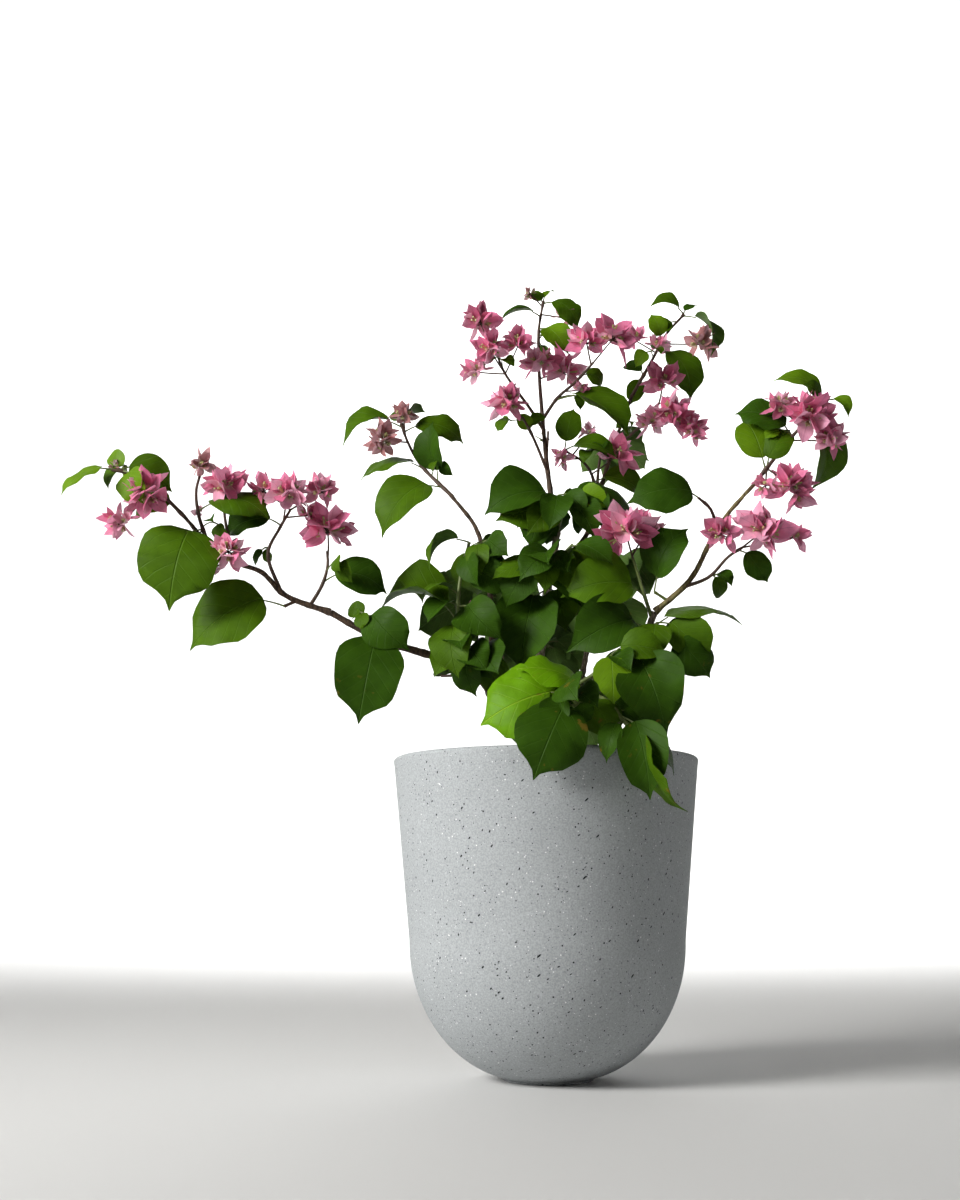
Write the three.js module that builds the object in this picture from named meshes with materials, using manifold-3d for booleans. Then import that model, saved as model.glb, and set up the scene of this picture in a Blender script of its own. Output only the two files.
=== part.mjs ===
// A bougainvillea bush in its round patio pot, built with three.js.
// Millimetres, +Z up. The origin is the middle of the pot's flat foot, on the ground.
// +X is to the right and -Y is towards someone who stands in front of the plant.
// Every node is one closed solid. Neighbours that touch on the real plant keep GAP between them.
import * as THREE from 'three';
import { mergeVertices } from 'three/addons/utils/BufferGeometryUtils.js';
import Module from 'manifold-3d';

const wasm = await Module();
wasm.setup();

// Clearance between neighbouring solids
const GAP = 0.3;

// Pot: a tapered wall over a belly whose section is a quarter ellipse, on a small round foot
const POT_HEIGHT = 305;
const POT_RIM_RADIUS = 150.5;
const POT_BELLY_RADIUS = 133.5;
const POT_BELLY_HEIGHT = 130;
const POT_BELLY_CENTRE = 21;
const POT_FOOT_RADIUS = 43;
const POT_FOOT_HEIGHT = 2;
const POT_WALL = 10;
const POT_LIP_RADIUS = 4;
const POT_SIDES = 32;
const BELLY_START = 14;
const BELLY_STEPS = 6;
const INNER_STEPS = 2;
const LIP_STEPS = 2;
const SOIL_BELOW_RIM = 30;

// Trunk: a short stool that forks just above the soil
const TRUNK_HEIGHT = 41;
const TRUNK_FOOT_RADIUS = 17;
const TRUNK_FORK_RADIUS = 12;
const ROOT_FLARE = 11;
const ROOT_FLARE_REACH = 0.22;
const ROOT_TOES = 5;
const ROOT_TOE_SWELL = 0.35;
const TRUNK_LEAN = 82;
const TRUNK_SIDES = 10;
const TRUNK_STEP = 8;

// Tubes for boughs and stems
const BOUGH_SIDES = 6;
const BOUGH_STEP = 38;
const STEM_SIDES = 3;
const STEM_STEP = 20;

// A limb's first stretch, its spur, is searched this far for the place where it is clear of others
const SPUR_SEARCH = 70;
const SPUR_CLEARANCE = 1;
const LEAVES_PAST_SPUR = 2;
const ROUTE_SAMPLE = 2;

// A direction this near to upright takes X for its sideways reference, in place of Z
const UPRIGHT = 0.9;
const WELD = 1e-4;

// Leaves: share of the blade for each section, half width there against the blade's length
const LARGE_LEAF = { sections: [0, 0.16, 0.6, 1], halfWidths: [0.026, 0.37, 0.3, 0] };
const SMALL_LEAF = { sections: [0, 0.35, 1], halfWidths: [0.03, 0.38, 0] };
const LARGE_LEAF_FROM = 59;
const LEAF_THICKNESS = 1.1;
const LEAF_ARCH = 0.11;
const LEAF_ARCH_RANGE = [0.7, 1.3];
const LEAF_FOLD = 0.22;
const LEAF_FOLD_RANGE = [0.6, 1.4];
const LEAF_TURN_RANGE = [-12, 12];
const PETIOLE_SHARE = 0.25;
const PETIOLE_LIFT = 50;
const PETIOLE_STEEPEST = 80;
const PETIOLE_SINK = 1.2;

// Where leaf faces look: towards the light in front and to the left, and away from the crown's axis
const FACE_HEADING = -115;
const FACE_RISE = 35;
const FACE_OUTWARD = 0.4;

// Flower clusters: each flower is a cup of three papery bracts, and flowers stand round a core
const BRACTS_PER_FLOWER = 3;
const BRACT_SHARE = 0.58;
const BRACT_OPENING = 50;
const BRACT_NOTCH = 0.7;
const FLOWER_WALL = 1.1;
const FLOWER_SEAT = 0.07;
const CORE_SHARE = 0.1;
const STALK_RADIUS = 1.4;
const STALK_PAST = 0.08;
const FLOWER_SPACING = 23;
const FLOWER_TILT_RANGE = [50, 70];
const FLOWER_AROUND_RANGE = [-20, 20];
const FLOWER_REACH_RANGE = [0.85, 1.1];

// Side twigs of the seeded rule. Each is set off from the last by the golden angle within a fan.
const TWIG_LENGTH = 46;
const TWIG_LENGTH_RANGE = [0.8, 1.15];
const TWIG_RADIUS = 1.3;
const TWIG_FIRST = 0.8;
const TWIG_LAST_SHARE = 0.97;
const TWIG_FAN = 240;
const GOLDEN_ANGLE = 137.5;
const TWIG_RISE_RANGE = [0, 40];
const TWIG_DROOP = 15;
const TWIG_LEAVES = 3;
const TWIG_BARE = 0.45;
const TWIG_LEAFY = 0.5;
const TWIG_LEAF_LENGTH = 62;
const TWIG_LEAF_LENGTH_RANGE = [0.75, 1.15];
const TWIG_LEAF_SIDE = 55;
const TWIG_LEAF_SIDE_RANGE = [0.5, 1.2];
const TWIG_LEAF_RISE_RANGE = [-50, -5];
const TWIG_WITH_BLOOM = 1;
const TWIG_BLOOM_AT = 0.9;
const TWIG_BLOOM_RISE = 55;
const TWIG_BLOOM_STALK = 26;
const TWIG_BLOOM_SIZE = 44;

// Each mass has a hundred seeds: its twigs take the first, its leaves and clusters start here
const SEEDS_PER_MASS = 100;
const LEAF_SEEDS = 50;
const BLOOM_SEEDS = 80;

// Boughs. Each leg of a route is [heading, rise, length]: degrees from +X towards +Y, degrees
// above level, and millimetres. A bough leaves its parent at a share of the parent's length.
const BOUGHS = [
  { name: 'bough_left', on: 'trunk', at: 1, girth: [6.5, 3.8],
    legs: [[-165, 38, 57], [-150, 60, 29], [-160, 40, 32], [-165, 12, 39], [-165, 16, 51], [-165, 26, 51]] },
  { name: 'bough_left_far', on: 'bough_left', at: 1, girth: [3.7, 2.2],
    legs: [[-170, 20, 48], [-170, 44, 30], [-170, 20, 27], [-172, 34, 35], [-170, 48, 32]] },
  { name: 'bough_upper_left', on: 'bough_left', at: 0.16, girth: [4.6, 2.4],
    legs: [[145, 75, 78], [100, 74, 68], [127, 72, 72], [157, 54, 51]] },
  { name: 'bough_centre', on: 'trunk', at: 1, girth: [7.2, 4.4],
    legs: [[115, 81, 44], [40, 87, 56], [20, 83, 53], [15, 79, 43], [0, 82, 30]] },
  { name: 'bough_upright', on: 'bough_centre', at: 1, girth: [3.8, 2.6],
    legs: [[140, 80, 36], [125, 79, 40], [113, 80, 62]] },
  { name: 'bough_top_right', on: 'bough_centre', at: 0.85, girth: [3.5, 2.2],
    legs: [[36, 37, 52], [48, 63, 69], [44, 67, 59], [30, 67, 67]] },
  { name: 'bough_right', on: 'trunk', at: 1, girth: [6.2, 3.9],
    legs: [[-38, 46, 51], [-38, 28, 37], [-32, 40, 35], [-24, 46, 28], [-26, 63, 31]] },
  { name: 'bough_right_far', on: 'bough_right', at: 1, girth: [3.7, 2.2],
    legs: [[-16, 41, 47], [-21, 60, 56], [-18, 48, 61]] },
  { name: 'bough_front', on: 'trunk', at: 1, girth: [4.6, 3],
    legs: [[-80, 40, 65], [-70, 7, 39], [-63, -8, 27], [-53, -22, 14]] },
  { name: 'bough_back_left', on: 'trunk', at: 1, girth: [5, 3],
    legs: [[135, 48, 60], [115, 62, 50], [100, 60, 45]] },
  { name: 'bough_back_right', on: 'trunk', at: 1, girth: [5, 3],
    legs: [[35, 48, 60], [60, 60, 55], [70, 62, 50]] },
  { name: 'bough_back', on: 'trunk', at: 1, girth: [4.8, 3],
    legs: [[90, 40, 70], [90, 25, 50], [92, 0, 40]] },
];

// Foliage masses. A leaf is [share of the stem, heading, rise, length, turn], and a cluster is
// [share of the stem, heading, rise, stalk length, size]. twigs counts the side twigs of the
// seeded rule, which fan out round the heading `fan`.
const MASSES = [
  { name: 'foliage_left_tip', on: 'bough_left_far', at: 1, seed: 1, girth: [2, 1.3],
    legs: [[-165, 42, 35], [-165, 28, 37], [-170, 5, 12]],
    leaves: [[0.97, -155, -40, 50, 50], [0.86, 150, 40, 28], [0.93, 20, -20, 49], [0.88, -34, -60, 42],
      [0.05, 165, -5, 50]],
    blooms: [[0.8, 180, 30, 15, 20], [0.27, -130, 0, 25, 50], [0.5, -165, -55, 45, 38]] },
  { name: 'foliage_left_rise', on: 'bough_left_far', at: 0.8, seed: 2, girth: [2, 1.3],
    legs: [[160, 68, 31], [150, 80, 26], [30, 78, 21]],
    leaves: [[0.35, -20, -25, 72, 50], [0.2, -115, -66, 92]],
    blooms: [[0.8, 0, 80, 20, 34], [0.3, 110, 50, 16, 18], [0.2, 175, -50, 45, 30]] },
  { name: 'foliage_left_front', on: 'bough_left_far', at: 0.56, seed: 3, girth: [2, 1.3],
    legs: [[-157, 58, 28], [-160, 75, 22], [-135, 83, 17]],
    leaves: [],
    blooms: [[0.85, 180, 88, 25, 50], [0.2, -100, -10, 24, 42], [0.25, -150, -45, 34, 24]] },
  { name: 'foliage_left_middle', on: 'bough_left_far', at: 0.3, seed: 4, girth: [2, 1.3],
    legs: [[-165, 70, 40], [-10, 66, 27], [-10, 60, 21]],
    leaves: [[0.8, 165, -25, 50]],
    blooms: [[1, 180, 35, 32, 38], [0.85, -70, 60, 25, 50], [1, 10, 33, 35, 38], [0.9, 20, 10, 22, 30]] },
  { name: 'foliage_left_inner', on: 'bough_left_far', at: 0.12, seed: 5, girth: [2, 1.3],
    legs: [[10, 62, 24], [10, 76, 20], [115, 80, 15]],
    leaves: [[0.45, 10, 10, 52, 60]],
    blooms: [[0.86, 180, 89, 26, 56]] },
  { name: 'foliage_left_round', on: 'bough_left_far', at: 0.2, seed: 35, girth: [1.8, 1.4],
    legs: [[-150, -28, 14]],
    leaves: [[1, -138, -46, 92]],
    blooms: [] },
  { name: 'foliage_left_low', on: 'bough_left', at: 0.72, seed: 6, girth: [2, 1.3],
    legs: [[-127, 42, 13], [-163, 42, 18], [-173, 20, 17]],
    leaves: [[0.35, -134, -72, 91], [1, -35, -48, 56], [0.9, 150, 20, 24]],
    blooms: [] },
  { name: 'foliage_centre_left', on: 'bough_left', at: 0.3, seed: 7, girth: [2.4, 1.4],
    legs: [[-137, 49, 62], [-108, 79, 33], [0, 85, 34], [25, 75, 34]],
    leaves: [[0.5, -100, -68, 61], [0.6, -137, -36, 40], [0.66, -160, -4, 36, 50], [0.59, -46, -48, 57],
      [0.35, -60, -80, 49], [0.5, 167, 14, 73], [0.92, -73, -66, 41], [1, -163, -32, 48, 40],
      [0.8, -20, -30, 50]],
    blooms: [] },
  { name: 'foliage_upper_left', on: 'bough_upper_left', at: 1, seed: 8, girth: [2.2, 1.3],
    legs: [[165, 47, 51], [170, 62, 32], [180, 72, 19]],
    leaves: [[0.95, 180, -16, 65, 45], [0.9, -5, -16, 60, 40], [0.2, -113, 64, 55], [0.4, 171, -11, 66, 45],
      [0.15, -152, -51, 84], [1, 140, 46, 22], [1, 33, 31, 32, 40]],
    blooms: [[0.86, -100, 66, 20, 32], [0.78, -150, -5, 30, 42]] },
  { name: 'foliage_centre_top', on: 'bough_centre', at: 1, seed: 9, girth: [2.2, 1.4],
    legs: [[-80, 34, 27], [-102, 46, 21]],
    leaves: [[0.9, 10, -19, 75, 50], [1, -28, -43, 34], [0.73, -51, -47, 53], [0.63, -133, -38, 52],
      [0.97, -106, -60, 45], [0.55, -154, -24, 63], [0.85, -172, -18, 71, 20]],
    blooms: [] },
  { name: 'foliage_heart', on: 'bough_centre', at: 0.55, seed: 10, girth: [2.2, 1.4],
    legs: [[-87, 44, 46], [-86, 13, 31], [-58, 38, 24], [-25, 43, 19]],
    leaves: [[0.38, -130, -72, 85], [0.68, -43, -52, 48], [0.42, -41, -68, 48], [0.97, -33, -39, 43],
      [0.9, 0, -23, 38], [0.85, -140, -35, 50]],
    blooms: [] },
  { name: 'foliage_right_base', on: 'bough_right', at: 0.76, seed: 11, girth: [2, 1.4],
    legs: [[-47, 44, 23], [-22, 29, 12]],
    leaves: [[0.6, -157, -20, 80], [0.7, -7, -6, 78, 45], [0.95, 18, -35, 48]],
    blooms: [] },
  { name: 'foliage_right_low', on: 'bough_right', at: 0.96, seed: 12, girth: [2, 1.3],
    legs: [[-139, 65, 25], [-162, 73, 22], [-158, 71, 17]],
    leaves: [[0.35, -144, -28, 80, 50]],
    blooms: [[0.9, -142, 70, 29, 62], [1, 13, 57, 33, 34]] },
  { name: 'foliage_right_mid', on: 'bough_right_far', at: 0.22, seed: 13, girth: [2, 1.3],
    legs: [[-19, 18, 26], [-18, 44, 27], [-17, 31, 16]],
    leaves: [[0.93, 22, -56, 38]],
    blooms: [[0.9, -152, 41, 22, 42], [0.98, -28, 33, 25, 54], [1, 6, 12, 52, 34]] },
  { name: 'foliage_right_inner', on: 'bough_right_far', at: 0.1, seed: 32, girth: [1.8, 1.3],
    legs: [[-165, 30, 16]],
    leaves: [[1, -160, 40, 57]],
    blooms: [] },
  { name: 'foliage_right_upper', on: 'bough_right_far', at: 0.62, seed: 14, girth: [1.8, 1.3],
    legs: [[-135, 60, 20], [-146, 30, 18]],
    leaves: [[0.75, -164, 1, 67, 30]],
    blooms: [] },
  { name: 'foliage_right_tip', on: 'bough_right_far', at: 1, seed: 15, girth: [2, 1.3],
    legs: [[-6, 51, 52], [-5, 46, 32], [-9, 49, 18]],
    leaves: [[0.1, 149, 72, 51], [0.12, -16, 57, 41], [0.5, 170, 25, 49], [0.97, -175, 25, 49],
      [0.95, -139, 21, 26], [1, -15, -51, 26], [0.8, 47, -71, 58]],
    blooms: [[0.63, -157, 40, 27, 34], [0.51, -43, 35, 25, 54], [0.46, -9, -4, 38, 38],
      [0.12, -112, -64, 22, 30], [0.12, -10, -42, 30, 48]] },
  { name: 'foliage_top_left', on: 'bough_upright', at: 1, seed: 16, girth: [2.2, 1.2],
    legs: [[135, 85, 32], [104, 83, 35], [76, 83, 36], [22, 80, 31]],
    leaves: [[0.86, -171, -12, 41, 40], [0.97, 158, 39, 21], [1, 28, 40, 18], [0.98, -13, -40, 47, 45],
      [0.75, -37, -52, 43], [0.69, -16, -37, 36, 40], [0.64, 60, -66, 28]],
    blooms: [[0.95, -163, 43, 19, 26], [0.88, 9, -6, 26, 30], [0.25, -91, 52, 23, 42],
      [0.3, 76, 10, 26, 52]] },
  { name: 'foliage_plume_left', on: 'bough_upright', at: 0.86, seed: 17, girth: [1.9, 1.2],
    legs: [[-144, 48, 26], [-139, 40, 25], [-142, 44, 23], [-160, 66, 26]],
    leaves: [],
    blooms: [[0.73, -138, 45, 30, 42], [0.73, -24, 63, 32, 42], [0.73, 172, 7, 30, 34],
      [1, -175, 62, 32, 48]] },
  { name: 'foliage_plume_low', on: 'bough_upright', at: 0.5, seed: 18, girth: [1.8, 1.2],
    legs: [[-135, 56, 43], [-127, 41, 22]],
    leaves: [[0.68, -162, 51, 22], [0.75, -20, 27, 20]],
    blooms: [[0.97, -154, 38, 23, 46]] },
  { name: 'foliage_top_mid', on: 'bough_upright', at: 0.95, seed: 19, girth: [2, 1.3],
    legs: [[-28, 50, 28], [-25, 35, 24], [-22, 43, 29]],
    leaves: [[0.3, -26, -38, 88], [0.76, 26, -16, 28]],
    blooms: [[0.95, -139, 75, 23, 46], [1, -18, 48, 30, 52], [0.46, -19, -1, 18, 24]] },
  { name: 'foliage_top_right', on: 'bough_top_right', at: 1, seed: 20, girth: [2, 1.2],
    legs: [[9, 61, 53], [8, 62, 31], [5, 50, 34]],
    leaves: [[1, 180, 11, 37], [1, 14, 29, 20], [0.98, -19, -57, 57], [0.64, -139, 65, 29],
      [0.9, 164, -39, 28], [0.53, -28, -60, 69], [0.24, 155, 25, 26], [0.24, 133, -68, 30]],
    blooms: [[0.51, -171, 29, 28, 32], [0.39, -44, 55, 20, 32], [0.61, -8, -4, 45, 40]] },
  { name: 'foliage_top_right_side', on: 'bough_top_right', at: 0.7, seed: 21, girth: [1.9, 1.2],
    legs: [[-29, 34, 30], [-37, 31, 23], [-25, 51, 22]],
    leaves: [],
    blooms: [[0.97, -22, 77, 24, 46], [0.45, -42, 10, 22, 40], [0.76, -28, -7, 26, 48],
      [0.9, -12, -35, 48, 38]] },
  { name: 'foliage_mid_shoot', on: 'bough_top_right', at: 0.42, seed: 22, girth: [1.9, 1.2],
    legs: [[-117, 68, 29], [-128, 34, 21], [-149, 21, 25]],
    leaves: [[1, -32, 79, 40], [1, -18, -22, 49], [0.3, 9, -20, 52]],
    blooms: [[0.42, -26, 30, 32, 48], [0.86, 0, 54, 29, 24], [0.75, -161, -5, 18, 26]] },
  { name: 'foliage_front_low', on: 'bough_front', at: 1, seed: 23, girth: [2.2, 1.5],
    legs: [[-129, -25, 15], [-132, -25, 18]],
    leaves: [[0.69, -170, -8, 78], [0.3, -171, 19, 65], [0.8, -140, -59, 69], [0.5, -38, -58, 43],
      [0.55, -90, -69, 24]],
    blooms: [] },
  { name: 'foliage_front_right', on: 'bough_front', at: 0.72, seed: 25, girth: [2.2, 1.4],
    legs: [[-42, 22, 38], [0, 38, 26], [8, 28, 25], [14, 10, 24]],
    leaves: [[0.3, -28, -4, 42, 40], [0.56, -37, -61, 82], [0.98, 0, -52, 50]],
    blooms: [] },
  { name: 'foliage_front_drop', on: 'bough_front', at: 0.93, seed: 24, girth: [2.2, 1.5],
    legs: [[-50, -25, 34], [-53, -45, 24], [-22, -45, 23]],
    leaves: [[0.73, -144, -64, 39], [0.64, -25, -64, 54], [0.98, 19, -72, 59, 50], [0.8, 20, -55, 57],
      [0.56, 30, -40, 36], [0.35, 0, -34, 36]],
    blooms: [] },
  { name: 'foliage_back_crown', on: 'bough_upright', at: 0.35, seed: 33, girth: [2, 1.3], faces: 100,
    legs: [[95, 58, 45], [80, 70, 40]], leaves: [], blooms: [], twigs: 3, fan: 95,
    space: [[-45, 60, 640], [60, 175, 770]] },
  { name: 'foliage_back_top_right', on: 'bough_top_right', at: 0.45, seed: 34, girth: [2, 1.3], faces: 70,
    legs: [[85, 50, 40], [70, 65, 45]], leaves: [], blooms: [], twigs: 3, fan: 70,
    space: [[50, 90, 610], [150, 200, 760]] },
  { name: 'foliage_back_left_high', on: 'bough_back_left', at: 1, seed: 26, girth: [2.4, 1.4], faces: 120,
    legs: [[125, 60, 50], [110, 55, 45]], leaves: [], blooms: [], twigs: 5, fan: 120,
    space: [[-135, 70, 400], [0, 230, 590]] },
  { name: 'foliage_back_left_low', on: 'bough_back_left', at: 0.5, seed: 27, girth: [2.2, 1.4], faces: 140,
    legs: [[165, 25, 45], [150, 5, 35]], leaves: [], blooms: [], twigs: 4, fan: 150,
    space: [[-150, 30, 320], [-20, 190, 440]] },
  { name: 'foliage_back_right_high', on: 'bough_back_right', at: 1, seed: 28, girth: [2.4, 1.4], faces: 60,
    legs: [[55, 60, 50], [70, 55, 45]], leaves: [], blooms: [], twigs: 5, fan: 60,
    space: [[0, 70, 400], [135, 230, 590]] },
  { name: 'foliage_back_right_low', on: 'bough_back_right', at: 0.5, seed: 29, girth: [2.2, 1.4], faces: 40,
    legs: [[15, 25, 45], [30, 5, 35]], leaves: [], blooms: [], twigs: 4, fan: 30,
    space: [[10, 20, 320], [140, 190, 440]] },
  { name: 'foliage_back_low', on: 'bough_back', at: 1, seed: 30, girth: [2.4, 1.5], faces: 90,
    legs: [[90, -20, 40], [88, -45, 40]], leaves: [], blooms: [], twigs: 4, fan: 90,
    space: [[-90, 150, 230], [90, 270, 420]] },
  { name: 'foliage_back_mid', on: 'bough_back', at: 0.75, seed: 31, girth: [2.4, 1.4], faces: 90,
    legs: [[95, 68, 60], [80, 60, 45]], leaves: [], blooms: [], twigs: 4, fan: 90,
    space: [[-80, 95, 400], [80, 240, 540]] },
];

const SIDEWAYS = new THREE.Vector3(1, 0, 0);
const TOWARDS_UP = new THREE.Vector3(0, 0, 1);

function direction(heading, rise) {
  const polar = THREE.MathUtils.degToRad(90 - rise);
  const around = THREE.MathUtils.degToRad(heading);
  return new THREE.Vector3(
    Math.sin(polar) * Math.cos(around),
    Math.sin(polar) * Math.sin(around),
    Math.cos(polar),
  );
}

// A small repeatable random sequence, so that the plant grows the same each time
function seeded(seed) {
  let state = (seed * 2654435761) >>> 0;
  return (low = 0, high = 1) => {
    state = (Math.imul(state, 1664525) + 1013904223) >>> 0;
    return low + ((high - low) * state) / 4294967296;
  };
}

// The part of `vector` that is square to `axis`, at unit length
function squareTo(axis, vector) {
  return vector.clone().addScaledVector(axis, -vector.dot(axis)).normalize();
}

// A unit direction square to `axis`, level with Z wherever the axis is not close to upright
function sidewaysOf(axis) {
  return squareTo(axis, Math.abs(axis.z) > UPRIGHT ? SIDEWAYS : TOWARDS_UP);
}

// A limb's centre line, read by the distance along it
class Route {
  constructor(start, legs) {
    const points = [start.clone()];
    for (const [heading, rise, length] of legs) {
      points.push(points.at(-1).clone().addScaledVector(direction(heading, rise), length));
    }
    this.curve = new THREE.CatmullRomCurve3(points);
    this.length = this.curve.getLength();
    this.reference = sidewaysOf(points.at(-1).clone().sub(points[0]).normalize());
  }

  at(distance) {
    return this.curve.getPointAt(THREE.MathUtils.clamp(distance / this.length, 0, 1));
  }

  along(distance) {
    return this.curve.getTangentAt(THREE.MathUtils.clamp(distance / this.length, 0, 1));
  }

  // Shortest distance from a point to the centre line
  clearOf(point) {
    const steps = Math.ceil(this.length / ROUTE_SAMPLE);
    let nearest = Infinity;
    for (let step = 0; step <= steps; step += 1) {
      nearest = Math.min(nearest, this.at((this.length * step) / steps).distanceTo(point));
    }
    return nearest;
  }
}

// Turn a geometry into a solid for joining and testing
function solidOf(geometry) {
  geometry.deleteAttribute('normal');
  geometry.deleteAttribute('uv');
  const merged = mergeVertices(geometry, WELD);
  return new wasm.Manifold(new wasm.Mesh({
    numProp: 3,
    vertProperties: merged.attributes.position.array,
    triVerts: new Uint32Array(merged.index.array),
  }));
}

function geometryOf(solid) {
  const mesh = solid.getMesh();
  const geometry = new THREE.BufferGeometry();
  const positions = new Float32Array(mesh.vertProperties);
  geometry.setAttribute('position', new THREE.BufferAttribute(positions, 3));
  geometry.setIndex(new THREE.BufferAttribute(new Uint32Array(mesh.triVerts), 1));
  geometry.computeVertexNormals();
  return geometry;
}

// Move every vertex of a geometry to place(x, y, z)
function reshape(geometry, place) {
  const position = geometry.attributes.position;
  const vertex = new THREE.Vector3();
  for (let i = 0; i < position.count; i += 1) {
    vertex.fromBufferAttribute(position, i);
    const moved = place(vertex.x, vertex.y, vertex.z);
    position.setXYZ(i, moved.x, moved.y, moved.z);
  }
  return geometry;
}

// A closed tube along a route between two distances, with a radius for each distance
function tube(route, from, to, radiusAt, sides, step) {
  const length = to - from;
  const steps = Math.max(1, Math.round(length / step));
  const geometry = new THREE.CylinderGeometry(1, 1, length, sides, steps);
  return reshape(geometry, (x, y, z) => {
    const distance = from + y + length / 2;
    const tangent = route.along(distance);
    const across = squareTo(tangent, route.reference);
    const over = across.clone().cross(tangent);
    const angle = Math.atan2(z, x);
    const radius = radiusAt(distance, angle) * Math.hypot(x, z);
    return route.at(distance)
      .addScaledVector(across, Math.cos(angle) * radius)
      .addScaledVector(over, Math.sin(angle) * radius);
  });
}

// A straight three-sided stalk that narrows to a point
function stalkGeometry(start, end, radius) {
  const axis = end.clone().sub(start);
  const geometry = new THREE.ConeGeometry(radius, axis.length(), 3, 1);
  geometry.translate(0, axis.length() / 2, 0);
  geometry.applyQuaternion(new THREE.Quaternion().setFromUnitVectors(
    new THREE.Vector3(0, 1, 0),
    axis.clone().normalize(),
  ));
  return geometry.translate(start.x, start.y, start.z);
}

// A leaf with its petiole, as one closed mesh: a sphere of four sides, whose first pole sits in
// the stem, whose rings become the blade's sections and whose last pole is the tip.
// The blade is arched along its length and folded along its midrib.
function leafGeometry({ foot, base, chord, normal, length, arch, fold }, spare = 0) {
  const { sections, halfWidths } = length < LARGE_LEAF_FROM ? SMALL_LEAF : LARGE_LEAF;
  const root = foot.clone().addScaledVector(base.clone().sub(foot).normalize(), -PETIOLE_SINK);
  const side = chord.clone().cross(normal);
  const rings = sections.length;
  const geometry = new THREE.SphereGeometry(1, 4, rings);
  return reshape(geometry, (x, y, z) => {
    const ring = rings - Math.round((Math.acos(THREE.MathUtils.clamp(y, -1, 1)) / Math.PI) * rings);
    if (ring === 0) {
      return root;
    }
    const share = sections[ring - 1];
    const tip = ring === rings;
    const ringRadius = Math.hypot(x, z);
    const across = tip ? 0 : x / ringRadius;
    const through = tip ? 0 : z / ringRadius;
    const halfWidth = halfWidths[ring - 1] * length;
    const lift = 4 * arch * length * share * (1 - share) + fold * Math.abs(across) * halfWidth;
    return base.clone()
      .addScaledVector(chord, share * length + (tip ? spare : 0))
      .addScaledVector(side, across * (halfWidth + spare))
      .addScaledVector(normal, lift + through * (LEAF_THICKNESS / 2 + spare));
  });
}

// A flower as one closed mesh: a flat-bottomed star whose three lobes are lifted into a cup.
// It starts from a sphere with two sides to each bract and a single ring.
function flowerGeometry({ centre, axis, spoke, reach }, spare = 0) {
  const opening = THREE.MathUtils.degToRad(BRACT_OPENING);
  const geometry = new THREE.SphereGeometry(1, 2 * BRACTS_PER_FLOWER, 2);
  return reshape(geometry, (x, y, z) => {
    if (Math.abs(y) > 0.5) {
      return centre.clone().addScaledVector(axis, Math.sign(y) * (FLOWER_WALL + spare));
    }
    const angle = Math.atan2(z, x);
    const lobe = Math.cos(BRACTS_PER_FLOWER * angle) > 0;
    const length = (lobe ? reach : reach * BRACT_NOTCH) + spare;
    const out = spoke.clone().applyAxisAngle(axis, -angle);
    return centre.clone()
      .addScaledVector(axis, length * Math.cos(opening))
      .addScaledVector(out, length * Math.sin(opening));
  });
}

// Every solid piece that has a place, with its owner's name, for the test that keeps owners apart
const placed = [];
const pieces = new Map();

function boxOf(geometry) {
  geometry.computeBoundingBox();
  return geometry.boundingBox;
}

// Whether a geometry would cut into a placed piece of another node
function touches(owner, geometry) {
  const box = boxOf(geometry);
  const near = placed.filter((piece) => piece.owner !== owner && piece.box.intersectsBox(box));
  if (near.length === 0) {
    return false;
  }
  const solid = solidOf(geometry);
  return near.some((piece) => !solid.intersect(piece.solid).isEmpty());
}

function keep(owner, geometry) {
  const box = boxOf(geometry).clone();
  const solid = solidOf(geometry);
  placed.push({ owner, box, solid });
  if (!pieces.has(owner)) {
    pieces.set(owner, []);
  }
  pieces.get(owner).push(solid);
}

// Where a leaf's petiole leaves the stem and how its blade is set
function leafFrame(mass, foot, [, heading, rise, length, turn = 0], random) {
  const chord = direction(heading, rise);
  const petiole = direction(heading, Math.min(PETIOLE_STEEPEST, rise + PETIOLE_LIFT));
  const base = foot.clone().addScaledVector(petiole, PETIOLE_SHARE * length);
  const outward = new THREE.Vector3(base.x, base.y, 0).normalize();
  const look = direction(mass.faces ?? FACE_HEADING, FACE_RISE).addScaledVector(outward, FACE_OUTWARD);
  const normal = squareTo(chord, look);
  normal.applyAxisAngle(chord, THREE.MathUtils.degToRad(turn + random(...LEAF_TURN_RANGE)));
  const arch = LEAF_ARCH * random(...LEAF_ARCH_RANGE);
  const fold = LEAF_FOLD * random(...LEAF_FOLD_RANGE);
  return { foot, base, chord, normal, length, arch, fold };
}

// A leaf that would touch another node's solid is left out
function growLeaf(mass, foot, leaf, random) {
  const frame = leafFrame(mass, foot, leaf, random);
  if (!touches(mass.name, leafGeometry(frame, GAP))) {
    keep(mass.name, leafGeometry(frame));
  }
}

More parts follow.
